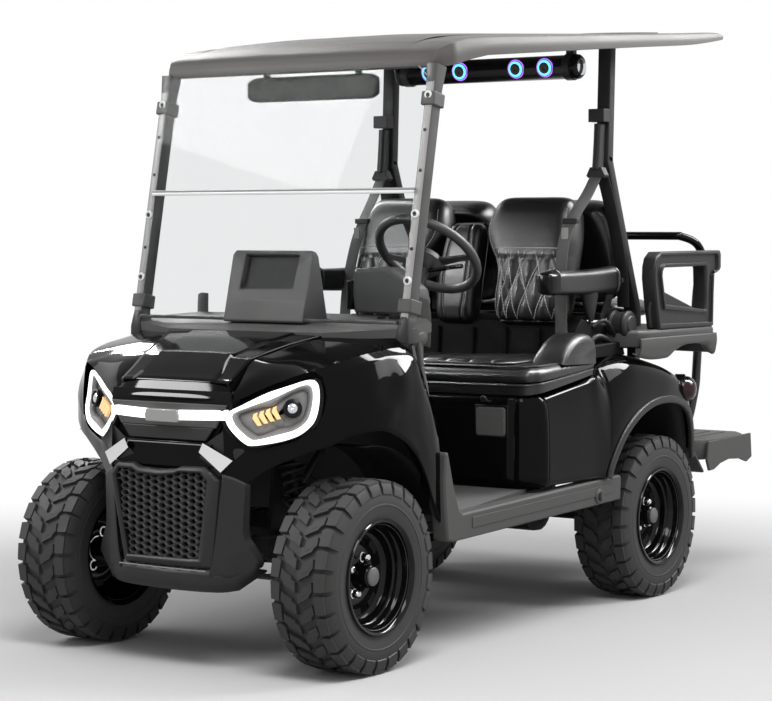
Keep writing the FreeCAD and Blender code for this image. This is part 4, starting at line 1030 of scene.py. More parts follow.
def make_rear_body():
    """The seat pod and rear fender: stations along the side, from rocker or arch lip over the top edge."""
    def station(y, x, low, top):
        """One station: lower edge, side, shoulder and top, leaning in by 14 mm over its height."""
        height = top - low
        return [(x - 6, y, low), (x, y, low + 0.06 * height), (x + 1, y, low + height * 0.35),
            (x - 2, y, low + height * 0.7), (x - 10, y, top - 34), (x - 20, y, top - 10), (x - 44, y, top),
            (x - 90, y, top + 2), (360, y, top + 2)]
    rows = [station(928, 576, 452, 742), station(1010, 578, 452, 754), station(1120, 582, 452, 770),
        station(1200, 585, 452, 782), station(1248, 588, 452, 794)]
    arch = []
    for y_lip, z_lip, y_top, z_top, width in ((1300, 452, 1310, 812, 592), (1312, 486, 1336, 822, 594),
            (1340, 532, 1374, 835, 597), (1388, 588, 1424, 846, 600), (1452, 634, 1478, 850, 602),
            (1530, 668, 1560, 840, 602), (1610, 686, 1650, 822, 601), (1690, 689, 1740, 800, 599),
            (1772, 682, 1820, 772, 592), (1850, 662, 1886, 734, 582), (1918, 624, 1934, 680, 568),
            (1968, 562, 1972, 610, 552), (1996, 486, 1994, 530, 540), (2002, 462, 2000, 490, 538)):
        lip, crest = np.array([y_lip, z_lip], float), np.array([y_top, z_top], float)

        def between(share):
            """A point part of the way from the arch's lip to its crest: lip (1 - s) + crest s."""
            return lip * (1 - share) + crest * share
        slope = min(1.0, (z_top - 480) / 300)
        arch.append([(width - 8, *(lip - (0, 4))), (width, *lip), (width + 2, *between(0.14)),
            (width + 1, *between(0.36)), (width - 6, *between(0.66)), (width - 26, *between(0.86)),
            (width - 58, *(crest - (0, 8 * slope))), (width - 120, *crest), (360, *(crest + (0, 4)))])
    side = patch(rows + arch, 5, 5)
    front = patch([[(-500, 850, 452), (-250, 848, 452), (0, 847, 452), (250, 848, 452), (500, 850, 452)],
        [(-500, 850, 600), (-250, 846, 600), (0, 845, 600), (250, 846, 600), (500, 850, 600)],
        [(-502, 850, 700), (-250, 847, 700), (0, 846, 700), (250, 847, 700), (502, 850, 700)],
        [(-506, 856, 734), (-250, 853, 734), (0, 852, 734), (250, 853, 734), (506, 856, 734)]], 5, 5)
    corner = patch([[(500, 850, 452), (522, 856, 452), (552, 888, 452), (570, 912, 452), (576, 928, 452)],
        [(500, 850, 600), (524, 855, 600), (555, 887, 600), (572, 911, 600), (577, 928, 600)],
        [(502, 850, 700), (524, 856, 702), (552, 888, 706), (566, 911, 708), (567, 928, 712)],
        [(506, 856, 734), (520, 866, 736), (540, 894, 739), (548, 912, 741), (534, 928, 743)]], 5, 5)
    piece("pod_sides", both([surface(side)]), "gloss", replaces=("rear_body",), wall=4.0, closed=False,
        sharp=60)
    # The deck is a dark sheet under the bench: painted shade that closes the gaps there
    deck = patch([[(-500, 866, 736), (0, 860, 736), (500, 866, 736)],
        [(-520, 1000, 750), (0, 1000, 752), (520, 1000, 750)],
        [(-520, 1244, 782), (0, 1244, 784), (520, 1244, 782)],
        [(-500, 1500, 834), (0, 1500, 836), (500, 1500, 834)]], 4, 4)
    piece("pod_deck", [surface(deck)], "black_and_painted_shade", wall=4.0, closed=False)
    piece("pod_front", [surface(front)], "gloss", wall=4.0, closed=False)
    piece("pod_corners", both([surface(corner)]), "gloss", wall=4.0, closed=False)
    flare_line = curve([(station[1][0] + 1, station[1][1], station[1][2] - 4) for station in arch], 4)
    flare = sweep(rounded(26, 16, 5), flare_line, (1, 0, 0))
    piece("arch_flares", both([flare]), "satin", sharp=60)
    flaps = both([plate([(1990, 490), (2004, 490), (2093, 398), (2083, 394)], 0, 420, 544)])
    piece("mudflaps", flaps, "grip", bevel=2.0)
    back = patch([[(-480, 1880, 730), (0, 1890, 730), (480, 1880, 730)],
        [(-524, 1940, 650), (0, 1950, 650), (524, 1940, 650)],
        [(-524, 1982, 540), (0, 1990, 540), (524, 1982, 540)],
        [(-520, 1994, 470), (0, 2000, 470), (520, 1994, 470)]], 4, 6)
    piece("rear_body_back", [surface(back)], "satin", wall=4.0, closed=False)


def make_charge_door():
    """A flat door in its frame, and the latch loop above it."""
    shell = plate(
        [(370, 704), (364, 698), (364, 620), (370, 612), (466, 612), (472, 620), (472, 698), (466, 704)], 1,
        836, 850)
    frame_ring = plate([(356, 712), (356, 604), (480, 604), (480, 712)], 1, 843, 851)
    piece("charge_door_cover", [shell], "grey", body="charge_door", replaces=("charge_door",), bevel=5.0)
    piece("charge_door_frame", [frame_ring], "gloss_trim", bevel=4.0)
    loop = tube([(393, 852, 722), (393, 830, 724), (396, 820, 734), (403, 818, 738), (411, 820, 734),
        (413, 830, 724), (413, 852, 722)], 4.0, (0, 1, 0.3))
    piece("seat_latch", [loop], "steel")


def make_tail_lamps():
    """Domed lenses turned from a profile, stretched along y and turned to face back and out."""
    profile = [(0.2, 46), (18, 44), (32, 36), (41, 22), (45, 4), (45, -30)]
    lamp = lathe(profile, 40, (560, 1890, 708))
    points, faces = lamp
    points = points.copy()
    points[:, 1] = 1890 + (points[:, 1] - 1890) * 1.15
    rim_ring = lathe([(45, -30), (52, -28), (52, 6), (46, 9)], 40, (560, 1890, 708))
    piece("tail_lamp_lenses", both([turned_about((points, faces), (560, 1890, 708), (0, 0, 1), 0.5)]), "red",
        replaces=("tail_lamps",), closed=False, wall=1.5)
    piece("tail_lamp_rims", both([turned_about(rim_ring, (560, 1890, 708), (0, 0, 1), 0.5)]), "gloss_trim",
        closed=False, wall=1.0)


def make_rockers():
    """The steps: a side outline pushed across, with inset, plugs and the front post's trim."""
    outline = [(336, 345), (372, 339), (1399, 367), (1404, 440), (1395, 450), (420, 420), (404, 430),
        (372, 500), (348, 580), (338, 612), (326, 606), (318, 520), (326, 430)]
    main = plate(outline, 0, 528, 583)
    recess = plate([(470, 372), (470, 404), (1330, 426), (1330, 396)], 0, 583, 585.5)
    plug = rod((582, 1248, 392), (590, 1248, 392), 25)
    hole = rod((586, 1248, 392), (592, 1248, 392), 17)
    trim = sweep(rounded(16, 24, 4),
        curve([(540, 316, 604), (532, 304, 700), (526, 292, 800), (520, 280, 860), (522, 262, 935)], 6),
        (1, 0, 0))
    piece("rocker_panels", both([main]), "grey", replaces=("rockers",), bevel=7.0)
    piece("rocker_insets", both([recess]), "grey", bevel=1.0)
    piece("rocker_plugs", both([plug]), "grey", bevel=1.5)
    piece("rocker_plug_faces", both([hole]), "gloss_trim", bevel=1.0)
    piece("post_trims", both([trim]), "grey", sharp=60)


def make_tray():
    """The tray: an outline grown level by level, with skirts that follow the wheel arch."""
    half = 600.0
    def ring(z, grow):
        """The tray's outline at a height, grown outwards."""
        return [(-half + 70 - grow, 1500 - grow, z), (half - 70 + grow, 1500 - grow, z),
            (half - 20 + grow * 0.7, 1520 - grow, z), (half + grow, 1570, z), (half + grow, 2040, z),
            (half - 8 + grow, 2058 + grow, z), (-half + 8 - grow, 2058 + grow, z), (-half - grow, 2040, z),
            (-half - grow, 1570, z), (-half + 20 - grow * 0.7, 1520 - grow, z)]
    rim_band = np.array([ring(868, -2), ring(872, 0), ring(918, 0), ring(926, -7)])
    skirt = []
    for y, low in ((1498, 846), (1530, 838), (1600, 830), (1690, 830), (1724, 836), (1760, 852), (1820, 868),
            (1900, 874), (1990, 864), (2030, 842), (2064, 828)):
        skirt.append([(598, y, 900), (600, y, 876), (597, y, (876 + low) / 2), (590, y, low),
            (570, y, low + 6)])
    piece("tray_rim", [capped(rim_band)], "grey", replaces=("rear_tray",), bevel=4.0)
    piece("tray_skirts", both([surface(patch(skirt, 5, 4))]), "grey", wall=5.0, closed=False)
    rear = patch([[(-592, 2062, 900), (0, 2066, 900), (592, 2062, 900)],
        [(-590, 2066, 860), (0, 2070, 860), (590, 2066, 860)],
        [(-584, 2060, 830), (0, 2062, 836), (584, 2060, 830)]], 4, 6)
    piece("tray_rear_band", [surface(rear)], "grey", wall=5.0, closed=False)


def make_rear_armrests():
    """The loops: an outer and an inner outline, blended o (1 - s) + i s, round a boxed section."""
    outer = [(1640, 924), (1618, 1010), (1600, 1100), (1602, 1140), (1614, 1170), (1644, 1190), (1860, 1191),
        (2100, 1192), (2108, 1180), (2108, 1134), (2098, 1124), (2056, 1122), (2050, 1040), (2047, 924)]
    inner = [(1686, 1012), (1668, 1078), (1660, 1108), (1662, 1122), (1670, 1132), (1684, 1136), (1860, 1137),
        (1978, 1137), (1984, 1130), (1986, 1104), (1987, 1080), (1988, 1060), (1988, 1020), (1986, 985)]
    outer, inner = np.array(outer, float), np.array(inner, float)

    def loop(line, x):
        """A (y, z) outline at one x."""
        return np.stack([np.full(len(line), x), line[:, 0], line[:, 1]], -1)
    middle = (outer * 0.78 + inner * 0.22)
    low_middle = (outer * 0.22 + inner * 0.78)
    rows = np.stack([loop(outer * 0.94 + inner * 0.06, 600), loop(outer, 594), loop(outer, 552),
        loop(outer * 0.94 + inner * 0.06, 547), loop(inner, 547), loop(inner, 594),
        loop(inner * 0.94 + outer * 0.06, 600), loop(low_middle, 600), loop(low_middle, 591),
        loop(middle, 591), loop(middle, 600)])
    panel = plate([(1612, 930), (1606, 1000), (1640, 1072), (1990, 978), (2000, 930)], 0, 566, 578)
    piece("rear_arm_loops", both([surface(rows, close_u=True, close_v=True)]), "satin",
        replaces=("rear_armrests",), bevel=2.0, closed=False)
    piece("rear_arm_panels", both([panel]), "satin", bevel=4.0)


def make_footplate():
    """The step: an outline grown level by level, with ribs, cheeks and tubes."""
    half = 560.0
    outline = [(-half + 60, 2046), (half - 60, 2046), (half - 18, 2090), (half, 2150), (half, 2330),
        (half - 12, 2400), (half - 46, 2440), (-half + 46, 2440), (-half + 12, 2400), (-half, 2330),
        (-half, 2150), (-half + 18, 2090)]
    rows = []
    for z, grow in ((438, -14), (446, -4), (498, 0), (512, -4), (516, -12)):
        rows.append([(x + grow * np.sign(x), y + (grow if y > 2200 else -grow) * 0.8, z) for x, y in outline])
    piece("footplate_panel", [capped(np.array(rows))], "grey", replaces=("footplate",), bevel=2.0)
    ribs = [brick(x - 9, x + 9, 2110, 2370, 515, 519) for x in range(-480, 481, 60)]
    piece("footplate_ribs", ribs, "grey", bevel=1.5)
    ends = both([plate([(2096, 506), (2440, 512), (2450, 424), (2408, 408), (2350, 424), (2260, 430),
        (2190, 420), (2140, 402), (2104, 400), (2084, 440)], 0, 551, 561)])
    piece("footplate_cheeks", ends, "grey", bevel=2.0)
    tubes = both([tube([(500, 2120, 832), (504, 2104, 760), (506, 2092, 706), (504, 2066, 630),
        (498, 2044, 560), (490, 2040, 470)], 16, (1, 0, 0))])
    piece("footplate_tubes", tubes, "steel")


def make_grab_rail():
    """A round tube along a smooth line over the seat's end."""
    line = [(528, 2040, 926), (528, 2052, 1040), (528, 2076, 1130), (526, 2094, 1180), (512, 2068, 1220),
        (478, 2030, 1240), (430, 2014, 1243), (0, 2010, 1243), (-430, 2014, 1243), (-478, 2030, 1240),
        (-512, 2068, 1220), (-526, 2094, 1180), (-528, 2076, 1140), (-528, 2052, 1040), (-528, 2040, 926)]
    piece("grab_rail_tube", [sweep(circle(14.5, 18), curve(line, 6), (0, 1, 0.01))], "gloss_trim",
        replaces=("grab_rail",))


# Wheels

def wrapped(outline, count, shift, base, top, inset=0.9):
    """Tread blocks: an (arc, x) outline set round the tyre, at (x, r sin(arc / R), r cos(arc / R))."""
    outline = np.array(outline, float)
    middle = outline.mean(axis=0)
    small = middle + (outline - middle) * inset
    layers = np.stack([outline, outline * 0.3 + small * 0.7, small])
    radii = np.array([base, top - 1.6, top])[:, None] + 0 * layers[..., 0]
    turn = (np.arange(count) + shift) * 2 * math.pi / count
    angle = layers[None, ..., 0] / length("tyre_radius") + turn[:, None, None]
    shoulder = np.clip(np.abs(layers[None, ..., 1]) - 62, 0, None)
    radius = radii[None] - 0.0042 * shoulder ** 2 * (radii[None] > base)
    points = np.stack([layers[None, ..., 1] + 0 * angle, radius * np.sin(angle), radius * np.cos(angle)], -1)
    size = len(outline)
    ring = [[l * size + k, l * size + (k + 1) % size, (l + 1) * size + (k + 1) % size,
        (l + 1) * size + k] for l in range(2) for k in range(size)]
    ring.append([2 * size + k for k in range(size)])
    faces = [[block * 3 * size + index for index in face] for block in range(count) for face in ring]
    return points.reshape(-1, 3), faces


def tyre_parts():
    """A carcass turned from its section, with tread blocks and shoulder lugs at one pitch."""
    carcass = curve([(150, 84), (158, 90), (172, 93.5), (196, 97.5), (218, 99), (240, 95.5), (256, 88),
        (266, 76), (268, 40), (268.6, 0), (268, -40), (266, -76), (256, -88), (240, -95.5), (218, -99),
        (196, -97.5), (172, -93.5), (158, -90), (150, -84)], 4)
    ridge = lathe([(203, 98.0), (205, 99.6), (209, 99.8), (211, 98.8)], 96, (0, 0, 0))
    parts = [lathe(carcass, 120, (0, 0, 0)), ridge, mirrored(ridge)]
    count = 27
    pitch = 2 * math.pi * length("tyre_radius") / count
    shoulder = [(-27, 60), (22, 56), (29, 66), (27, 91), (-25, 91), (-27, 76)]
    chevron = [(-33, 3), (-4, 3), (3, 14), (14, 18), (27, 44), (34, 52), (8, 55), (-2, 46), (-12, 42),
        (-24, 18)]
    step = [(4, 3), (25, 4), (32, 13), (40, 18), (52, 40), (45, 48), (34, 44), (22, 20), (10, 12)]
    for sign, shift in ((1, 0.0), (-1, 0.5)):
        for outline in (shoulder, chevron, step):
            side = [(arc, sign * x) for arc, x in outline]
            parts.append(wrapped(side if sign > 0 else side[::-1], count,
                shift + (0.5 if outline is chevron else 0.0), 263, length("tyre_radius") - 0.6, 0.96))
    for sign, shift in ((1, 0.0), (-1, 0.5)):
        turn = (np.arange(count) + shift) * 2 * math.pi / count
        section = np.array([(272, 84), (268.5, 92), (256, 97.5), (240, 99.8), (236, 96), (252, 86)], float)
        wide = np.array([-25, -21, 21, 25], float)
        grid = np.zeros((count, len(wide), len(section), 3))
        for row, arc in enumerate(wide):
            radius = section[:, 0] - (2.0 if abs(arc) > 20 else 0.0)
            angle = arc / length("tyre_radius") + turn[:, None]
            grid[:, row, :, 0] = sign * section[None, :, 1]
            grid[:, row, :, 1] = radius[None] * np.sin(angle)
            grid[:, row, :, 2] = radius[None] * np.cos(angle)
        for block in grid:
            part = capped(block if sign < 0 else block[:, ::-1])
            parts.append(part)
    return parts


def rim_parts():
    """The rim's turned barrel, inside, hub and cap, with four nuts and eight windows."""
    barrel = [(162, 90), (166.5, 93), (168, 97), (166, 100.5), (161, 100), (156, 96), (152.5, 88), (151, 78),
        (150.5, 66), (148, 62), (144.5, 58), (143.5, 46), (141, 42), (138, 40), (137, 26), (134, 18),
        (128, 12), (118, 8), (104, 10), (92, 14), (80, 16), (66, 14), (52, 12), (44, 14), (38, 16)]
    inside = [(152, 88), (150, 60), (138, 30), (138, -42), (150, -56), (152, -88), (166, -98), (163, -90)]
    hub = [(38, 8), (37, 14), (34, 18), (33.5, 60), (31, 64), (27, 66), (26, 66)]
    cap = [(27, 66), (26.5, 70), (24, 72), (0.3, 72.4)]
    nuts = []
    for k in range(4):
        angle = math.radians(90 * k + 45)
        y, z = 55 * math.sin(angle), 55 * math.cos(angle)
        nut = np.array([[(x, y + r * math.sin(t), z + r * math.cos(t)) for t in full_turn(6)] for x,
            r in ((10, 13.5), (30, 13.5), (35, 11.5), (38, 7))])
        seat = np.array([[(x, y + r * math.sin(t), z + r * math.cos(t)) for t in full_turn(18)] for x,
            r in ((10, 17), (17, 16), (18, 13))])
        nuts += [capped(nut), capped(seat)]
    windows = []
    for k in range(8):
        angle = np.linspace(-0.20, 0.20, 7) + k * math.pi / 4 + 0.39
        ring = np.vstack([np.stack([117 * np.sin(angle), 117 * np.cos(angle)], -1),
            np.stack([98 * np.sin(angle[::-1]), 98 * np.cos(angle[::-1])], -1)])
        windows.append(plate(ring, 0, 7.0, 12.2))
    turned = [lathe(profile, count, (0, 0, 0)) for profile,
        count in ((barrel, 96), (inside, 64), (hub, 40), (cap, 40))]
    return (*turned, nuts, windows)


def placed(part, sign, y, turn=0.0):
    """A wheel part moved to its axle end, mirrored on the right side."""
    points, faces = turned_about(part, (0, 0, 0), (1, 0, 0), turn)
    if sign < 0:
        points, faces = mirrored((points, faces))
    return points + np.array([sign * length("half_track"), y, length("tyre_radius")]), faces


def make_wheels():
    """The four wheels: the same parts placed at each axle end."""
    tyres = tyre_parts()
    barrel, inside, hub, cap, nuts, windows = rim_parts()
    for end, y, turn in (("front", 0.0, 0.35), ("rear", length("wheelbase"), 0.1)):
        for side, sign in (("left", 1), ("right", -1)):
            body = "wheel_%s_%s" % (end, side)
            piece("tread_%s_%s" % (end, side), [placed(p, sign, y, turn) for p in tyres], "rubber", body=body,
                replaces=("tyre_%s_%s" % (end, side),), sharp=34, closed=False)
            piece("rim_face_%s_%s" % (end, side), [placed(p, sign, y, turn) for p in (barrel, inside, hub)],
                "rim", body=body, replaces=("rim_%s_%s" % (end, side),), closed=False,
                extra=[("chrome", [placed(p, sign, y, turn) for p in nuts]),
                ("hub_cap", [placed(cap, sign, y, turn)]),
                ("cast", [placed(p, sign, y, turn) for p in windows])])


# Seats

def crown(a, b, power=8.0):
    """How far a cushion's face has risen: (1 - |a|^p)^.5 (1 - |b|^p)^.5."""
    return np.sqrt(np.clip(1 - np.abs(a) ** power, 0, 1) * np.clip(1 - np.abs(b) ** power, 0, 1))


def back_middle(centre_x, half, low, high, lean):
    """The middle surface of an upright back: x across, z up, y from its leaning line of (z, y) points."""
    heights = np.array([point[0] for point in lean], float)
    depths = np.array([point[1] for point in lean], float)

    def middle(a, b):
        """x = centre + a half taper, z from b, y from the lean line, facing square to that line."""
        z = (low + high) / 2 + b * (high - low) / 2
        taper = 1 - 0.10 * smoothstep(0.2, 1.0, b)
        x = centre_x + a * half * taper
        if half > 150:
            inner = a * np.sign(centre_x) < 0
            x = np.where(inner, x + np.sign(centre_x) * 80 * np.abs(a) * (1 - smoothstep(-0.25, 0.50, b)), x)
        y = np.interp(z, heights, depths)
        slope = np.interp(z, heights, np.gradient(depths, heights))
        facing = np.stack([0 * z, -np.ones_like(z), slope], -1)
        facing /= np.linalg.norm(facing, axis=-1, keepdims=True)
        return np.stack([x, y, z], -1), facing
    return middle


def quilt(centre_x, width, low, high, pitch, depth):
    """Diamond quilting: sinks the face along two crossing sets of lines, u + v and u - v."""
    def relief(points, a, b):
        """Depth times 1 - (|sin(u + v)| |sin(u - v)|)^0.6 in the field, and a groove on its borders."""
        u = (points[..., 0] - centre_x) / pitch
        v = (points[..., 2] - low) / (pitch * 2.5)
        lines = np.abs(np.sin(math.pi * (u + v))) * np.abs(np.sin(math.pi * (u - v)))
        inside = ((
            smoothstep(low - 4, low + 4, points[..., 2]) - smoothstep(high - 4, high + 4, points[..., 2])) * (
            1 - smoothstep(width - 4, width + 4, np.abs(points[..., 0] - centre_x))))
        border = np.exp(-((points[..., 2] - high) / 3.5) ** 2) + np.exp(-((points[..., 2] - low) / 3.5) ** 2)
        return depth * inside * (1 - np.clip(lines, 0, 1) ** 0.6) + 4.0 * np.clip(border, 0, 1)
    return relief


def dashes(lines, on_surface, width=3.0, on=9.0, off=2.0):
    """Stitches: short flat ribbons laid along lines of (a, b) values on a surface function."""
    starts, ends, sides = [], [], []
    for line in lines:
        points, facing = on_surface(line[:, 0], line[:, 1])
        gaps = np.linalg.norm(np.diff(points, axis=0), axis=1)
        reach = np.concatenate([[0], np.cumsum(gaps)])
        if reach[-1] < on:
            continue
        at = np.arange(0, reach[-1] - on, on + off)
        first = np.stack([np.interp(at, reach, points[:, k]) for k in range(3)], -1)
        last = np.stack([np.interp(at + on, reach, points[:, k]) for k in range(3)], -1)
        out = np.stack([np.interp(at, reach, facing[:, k]) for k in range(3)], -1)
        run = last - first
        run /= np.maximum(np.linalg.norm(run, axis=1, keepdims=True), 1e-6)
        side = np.cross(run, out)
        starts.append(first + out * 0.9)
        ends.append(last + out * 0.9)
        sides.append(side * width / 2)
    first, last, side = np.vstack(starts), np.vstack(ends), np.vstack(sides)
    corners = np.stack([first - side, last - side, last + side, first + side], 1)
    return corners.reshape(-1, 3), np.arange(len(corners) * 4).reshape(-1, 4).tolist()


def upholstered(name, middle, front, back, relief, lines, replaces=(), body="chassis", power=8.0,
        count=(110, 120)):
    """A padded piece with its seams, and its stitches as ribbons on the same surface."""
    cushion = pad(middle, front, back, power, PAD_CORNER, relief, count)

    def on_surface(a, b):
        """The front face's points and facings at a, b, by the formula of pad."""
        flat_a = a * np.sqrt(1 - PAD_CORNER * b ** 8 / 2)
        flat_b = b * np.sqrt(1 - PAD_CORNER * a ** 8 / 2)
        points, facing = middle(flat_a, flat_b)
        rise = crown(a, b, power)[..., None]
        shown = points + facing * front * rise
        if relief is not None:
            shown = shown - facing * (relief(shown, a, b) * smoothstep(0.0, 0.5, rise[..., 0]))[..., None]
        return shown, facing
    extra = []
    if lines:
        extra = [("stitch", [dashes(lines, on_surface)])]
    piece(name, [cushion], "vinyl", body=body, replaces=replaces, closed=False, sharp=60, extra=extra)


def diamond_lines(centre_x, half, low, high, pitch, z_low, z_high, step=80):
    """The quilting lines of a back as (a, b) values, clipped to the quilted field."""
    lines = []
    rise = pitch * 2.5
    field = half - 26
    for slope in (1, -1):
        for k in range(-14, 15):
            z = np.linspace(z_low, z_high, step)
            x = slope * ((z - z_low) / rise - k) * pitch
            keep = np.abs(x) < field
            if keep.sum() > 3:
                a = x[keep] / half
                b = (z[keep] - (low + high) / 2) / ((high - low) / 2)
                lines.append(np.stack([a, b], -1))
    return lines


def make_front_backs():
    """The quilted backs, and the channelled centre back between them."""
    lean = [(930, 1306), (1000, 1312), (1100, 1334), (1190, 1362), (1300, 1400), (1370, 1428)]
    for index, centre_x in enumerate((257.0, -257.0)):
        middle = back_middle(centre_x, 178, 944, 1370, lean)
        lines = diamond_lines(centre_x, 178, 944, 1370, 69, 962, 1176)
        edge = np.linspace(-0.88, 0.88, 60)
        lines.append(np.stack([edge, np.full(60, (1182 - 1155) / 211.0)], -1))
        for sign in (1, -1):
            rise = np.linspace(-0.9, 0.78, 90)
            lines.append(np.stack([np.full(90, sign * 0.86), rise], -1))
        upholstered("front_back_%s" % ("left" if index == 0 else "right"), middle, 68, 74,
            quilt(centre_x, 146, 962, 1176, 69, 9.0), lines,
            replaces=("front_seatbacks",) if index == 0 else ())
    middle = back_middle(0, 78, 944, 1284, [(930, 1304), (1000, 1306), (1100, 1324), (1190, 1350),
        (1290, 1386)])

    def channels(points, a, b):
        """Two curved grooves: a bell curve of the distance from |x| = 46 - 18 h^2."""
        return 5.0 * np.exp(-((
            np.abs(points[..., 0]) - 46 + 18 * ((points[..., 2] - 1110) / 170) ** 2) / 3.5) ** 2)
    z = np.linspace(-0.86, 0.86, 80)
    curve_a = (46 - 18 * ((1114 + z * 170 - 1110) / 170) ** 2) / 78
    upholstered("front_back_centre", middle, 48, 36, channels,
        [np.stack([curve_a, z], -1), np.stack([-curve_a, z], -1)], count=(70, 90))


def make_seat_shadow():
    """The dark seat base behind the bench, under the backs, and the hose and slots in it."""
    base = plate([(1286, 812), (1296, 958), (1340, 976), (1440, 976), (1500, 826)], 0, -425, 425)
    sides = both([plate([(1270, 842), (1290, 930), (1330, 968), (1500, 940), (1520, 846)], 0, 426, 470),
        plate([(1290, 838), (1300, 880), (1520, 888), (1540, 842)], 0, 474, 520)])
    hoses = both([
        tube([(480, 1330, 850), (490, 1380, 905), (500, 1440, 900), (508, 1500, 860)], 9, (1, 0, 0)),
        tube([(470, 1400, 940), (492, 1440, 960), (500, 1490, 925), (492, 1520, 880)], 7, (1, 0, 0))])
    ribs = [brick(x - 6, x + 6, 1278, 1296, 826, 936) for x in (-330, -200, -70, 70, 200, 330)]
    piece("seat_base", [base] + ribs + sides, "black_and_painted_shade", bevel=4.0)
    piece("seat_hoses", hoses, "cast")


def make_rear_backs():
    """The rear-facing backs: the same padded form turned to face the tail."""
    for index, centre_x in enumerate((234.0, -234.0)):
        def middle(a, b, centre_x=centre_x):
            """An upright back: x from a, z from b, y from its leaning line."""
            z = 1192 + b * 168
            x = centre_x + a * 206 * (1 - 0.05 * smoothstep(0.3, 1.0, b))
            y = np.interp(z, [1024, 1080, 1150, 1240, 1310, 1362], [1668, 1680, 1674, 1636, 1596, 1560])
            facing = np.stack([0 * z, np.full_like(z, 0.93), np.full_like(z, 0.36)], -1)
            return np.stack([x, y, z], -1), facing
        upholstered("rear_back_%s" % ("left" if index == 0 else "right"), middle, 60, 70, None, [],
            replaces=("rear_seatbacks",) if index == 0 else (), power=16.0, count=(60, 60))


def make_front_bench():
    """The bench: slabs grown from one outline, a channelled cushion, piping and two bolsters."""
    outline = np.array([(-566, 1236), (-570, 1120), (-568, 930), (-552, 884), (-512, 858), (-300, 851),
        (0, 849), (300, 851), (512, 858), (552, 884), (568, 930), (570, 1120), (566, 1236)], float)
    outline = curve(outline, 5)
    front_y, rear_y, half = 849, 1236, 570
    depth = rear_y - front_y

    def slab(levels):
        """The outline at several levels, sloping from z_front to z_rear, each grown or drawn in."""
        rows = []
        for z_front, z_rear, grow in levels:
            level = z_front + (outline[:, 1] - front_y) / depth * (z_rear - z_front)
            centre = outline.copy()
            centre[:, 0] *= 1 + grow / half
            centre[:, 1] = (front_y + (outline[:, 1] - front_y) * (1 + grow / depth) - grow
                * (rear_y - outline[:, 1]) / depth * 2)
            rows.append(np.stack([centre[:, 0], centre[:, 1], level], -1))
        return capped(np.array(rows))
    skirt = slab([(741, 792, -8), (743, 793, -1), (770, 806, 0), (773, 808, -5)])
    edge = np.array([(x, y, 774 + (y - front_y) / depth * 36) for x, y in outline])
    roll = slab([(776, 810, -7), (784, 816, 1), (800, 826, 3), (815, 834, -1), (826, 840, -10),
        (832, 843, -22), (835, 845, -40)])
    piping = sweep(circle(4.5, 8), edge + np.array([0.0, -1.5, 0]))
    upper_z = edge[:, 2] + 58 - (edge[:, 1] - front_y) / depth * 24
    upper = sweep(circle(3.6, 8), np.stack([edge[:, 0] * 0.965, edge[:, 1] + 20, upper_z], -1))
    piece("bench_skirt", [skirt], "vinyl", body="front_seat_bottom", replaces=("front_seat_bottom",),
        sharp=50)
    piece("bench_roll", [roll], "vinyl", body="front_seat_bottom", sharp=50)
    piece("bench_piping", [piping, upper], "piping", body="front_seat_bottom")

    def middle(a, b):
        """The cushion's middle, sagging by 14 (1 - a^2) towards its rear."""
        x, y = a * 452, 1054 + b * 178
        z = 838 + (y - 876) / 360 * 8 - 14 * (1 - a ** 2) * smoothstep(-1, 0.2, b)
        return np.stack([x, y, z], -1), np.stack([0 * z, 0 * z, np.ones_like(z)], -1)

    def channels(points, a, b):
        """Grooves at an even pitch: a smooth dip of the distance to the nearest line."""
        across = np.abs(((points[..., 0] / 88.0) % 1.0) - 0.5)
        return 6.0 * (1 - smoothstep(0.0, 0.14, across))
    lines = []
    for k in range(-5, 5):
        b = np.linspace(-0.9, 0.9, 60)
        lines.append(np.stack([np.full(60, (k + 0.5) * 88.0 / 452), b], -1))
    upholstered("bench_cushion", middle, 20, 4, channels, lines, body="front_seat_bottom", count=(150, 60))
    for side, sign in (("left", 1), ("right", -1)):
        outline_z = curve([(1028, 836), (1052, 868), (1096, 904), (1146, 926), (1200, 928), (1232, 912),
            (1240, 880), (1240, 830)], 4)
        rows = []
        for x, shrink in ((452, 0.72), (458, 0.88), (468, 0.97), (486, 1.0), (548, 1.0), (564, 0.96),
                (573, 0.86), (576, 0.7)):
            z = 826 + (outline_z[:, 1] - 826) * shrink
            y = 1150 + (outline_z[:, 0] - 1150) * (0.85 + 0.15 * shrink)
            rows.append(np.stack([np.full(len(y), sign * x), y, z], -1))
        rows = np.array(rows)
        piece("bench_bolster_" + side, [capped(rows)], "vinyl", body="front_seat_bottom", sharp=60)


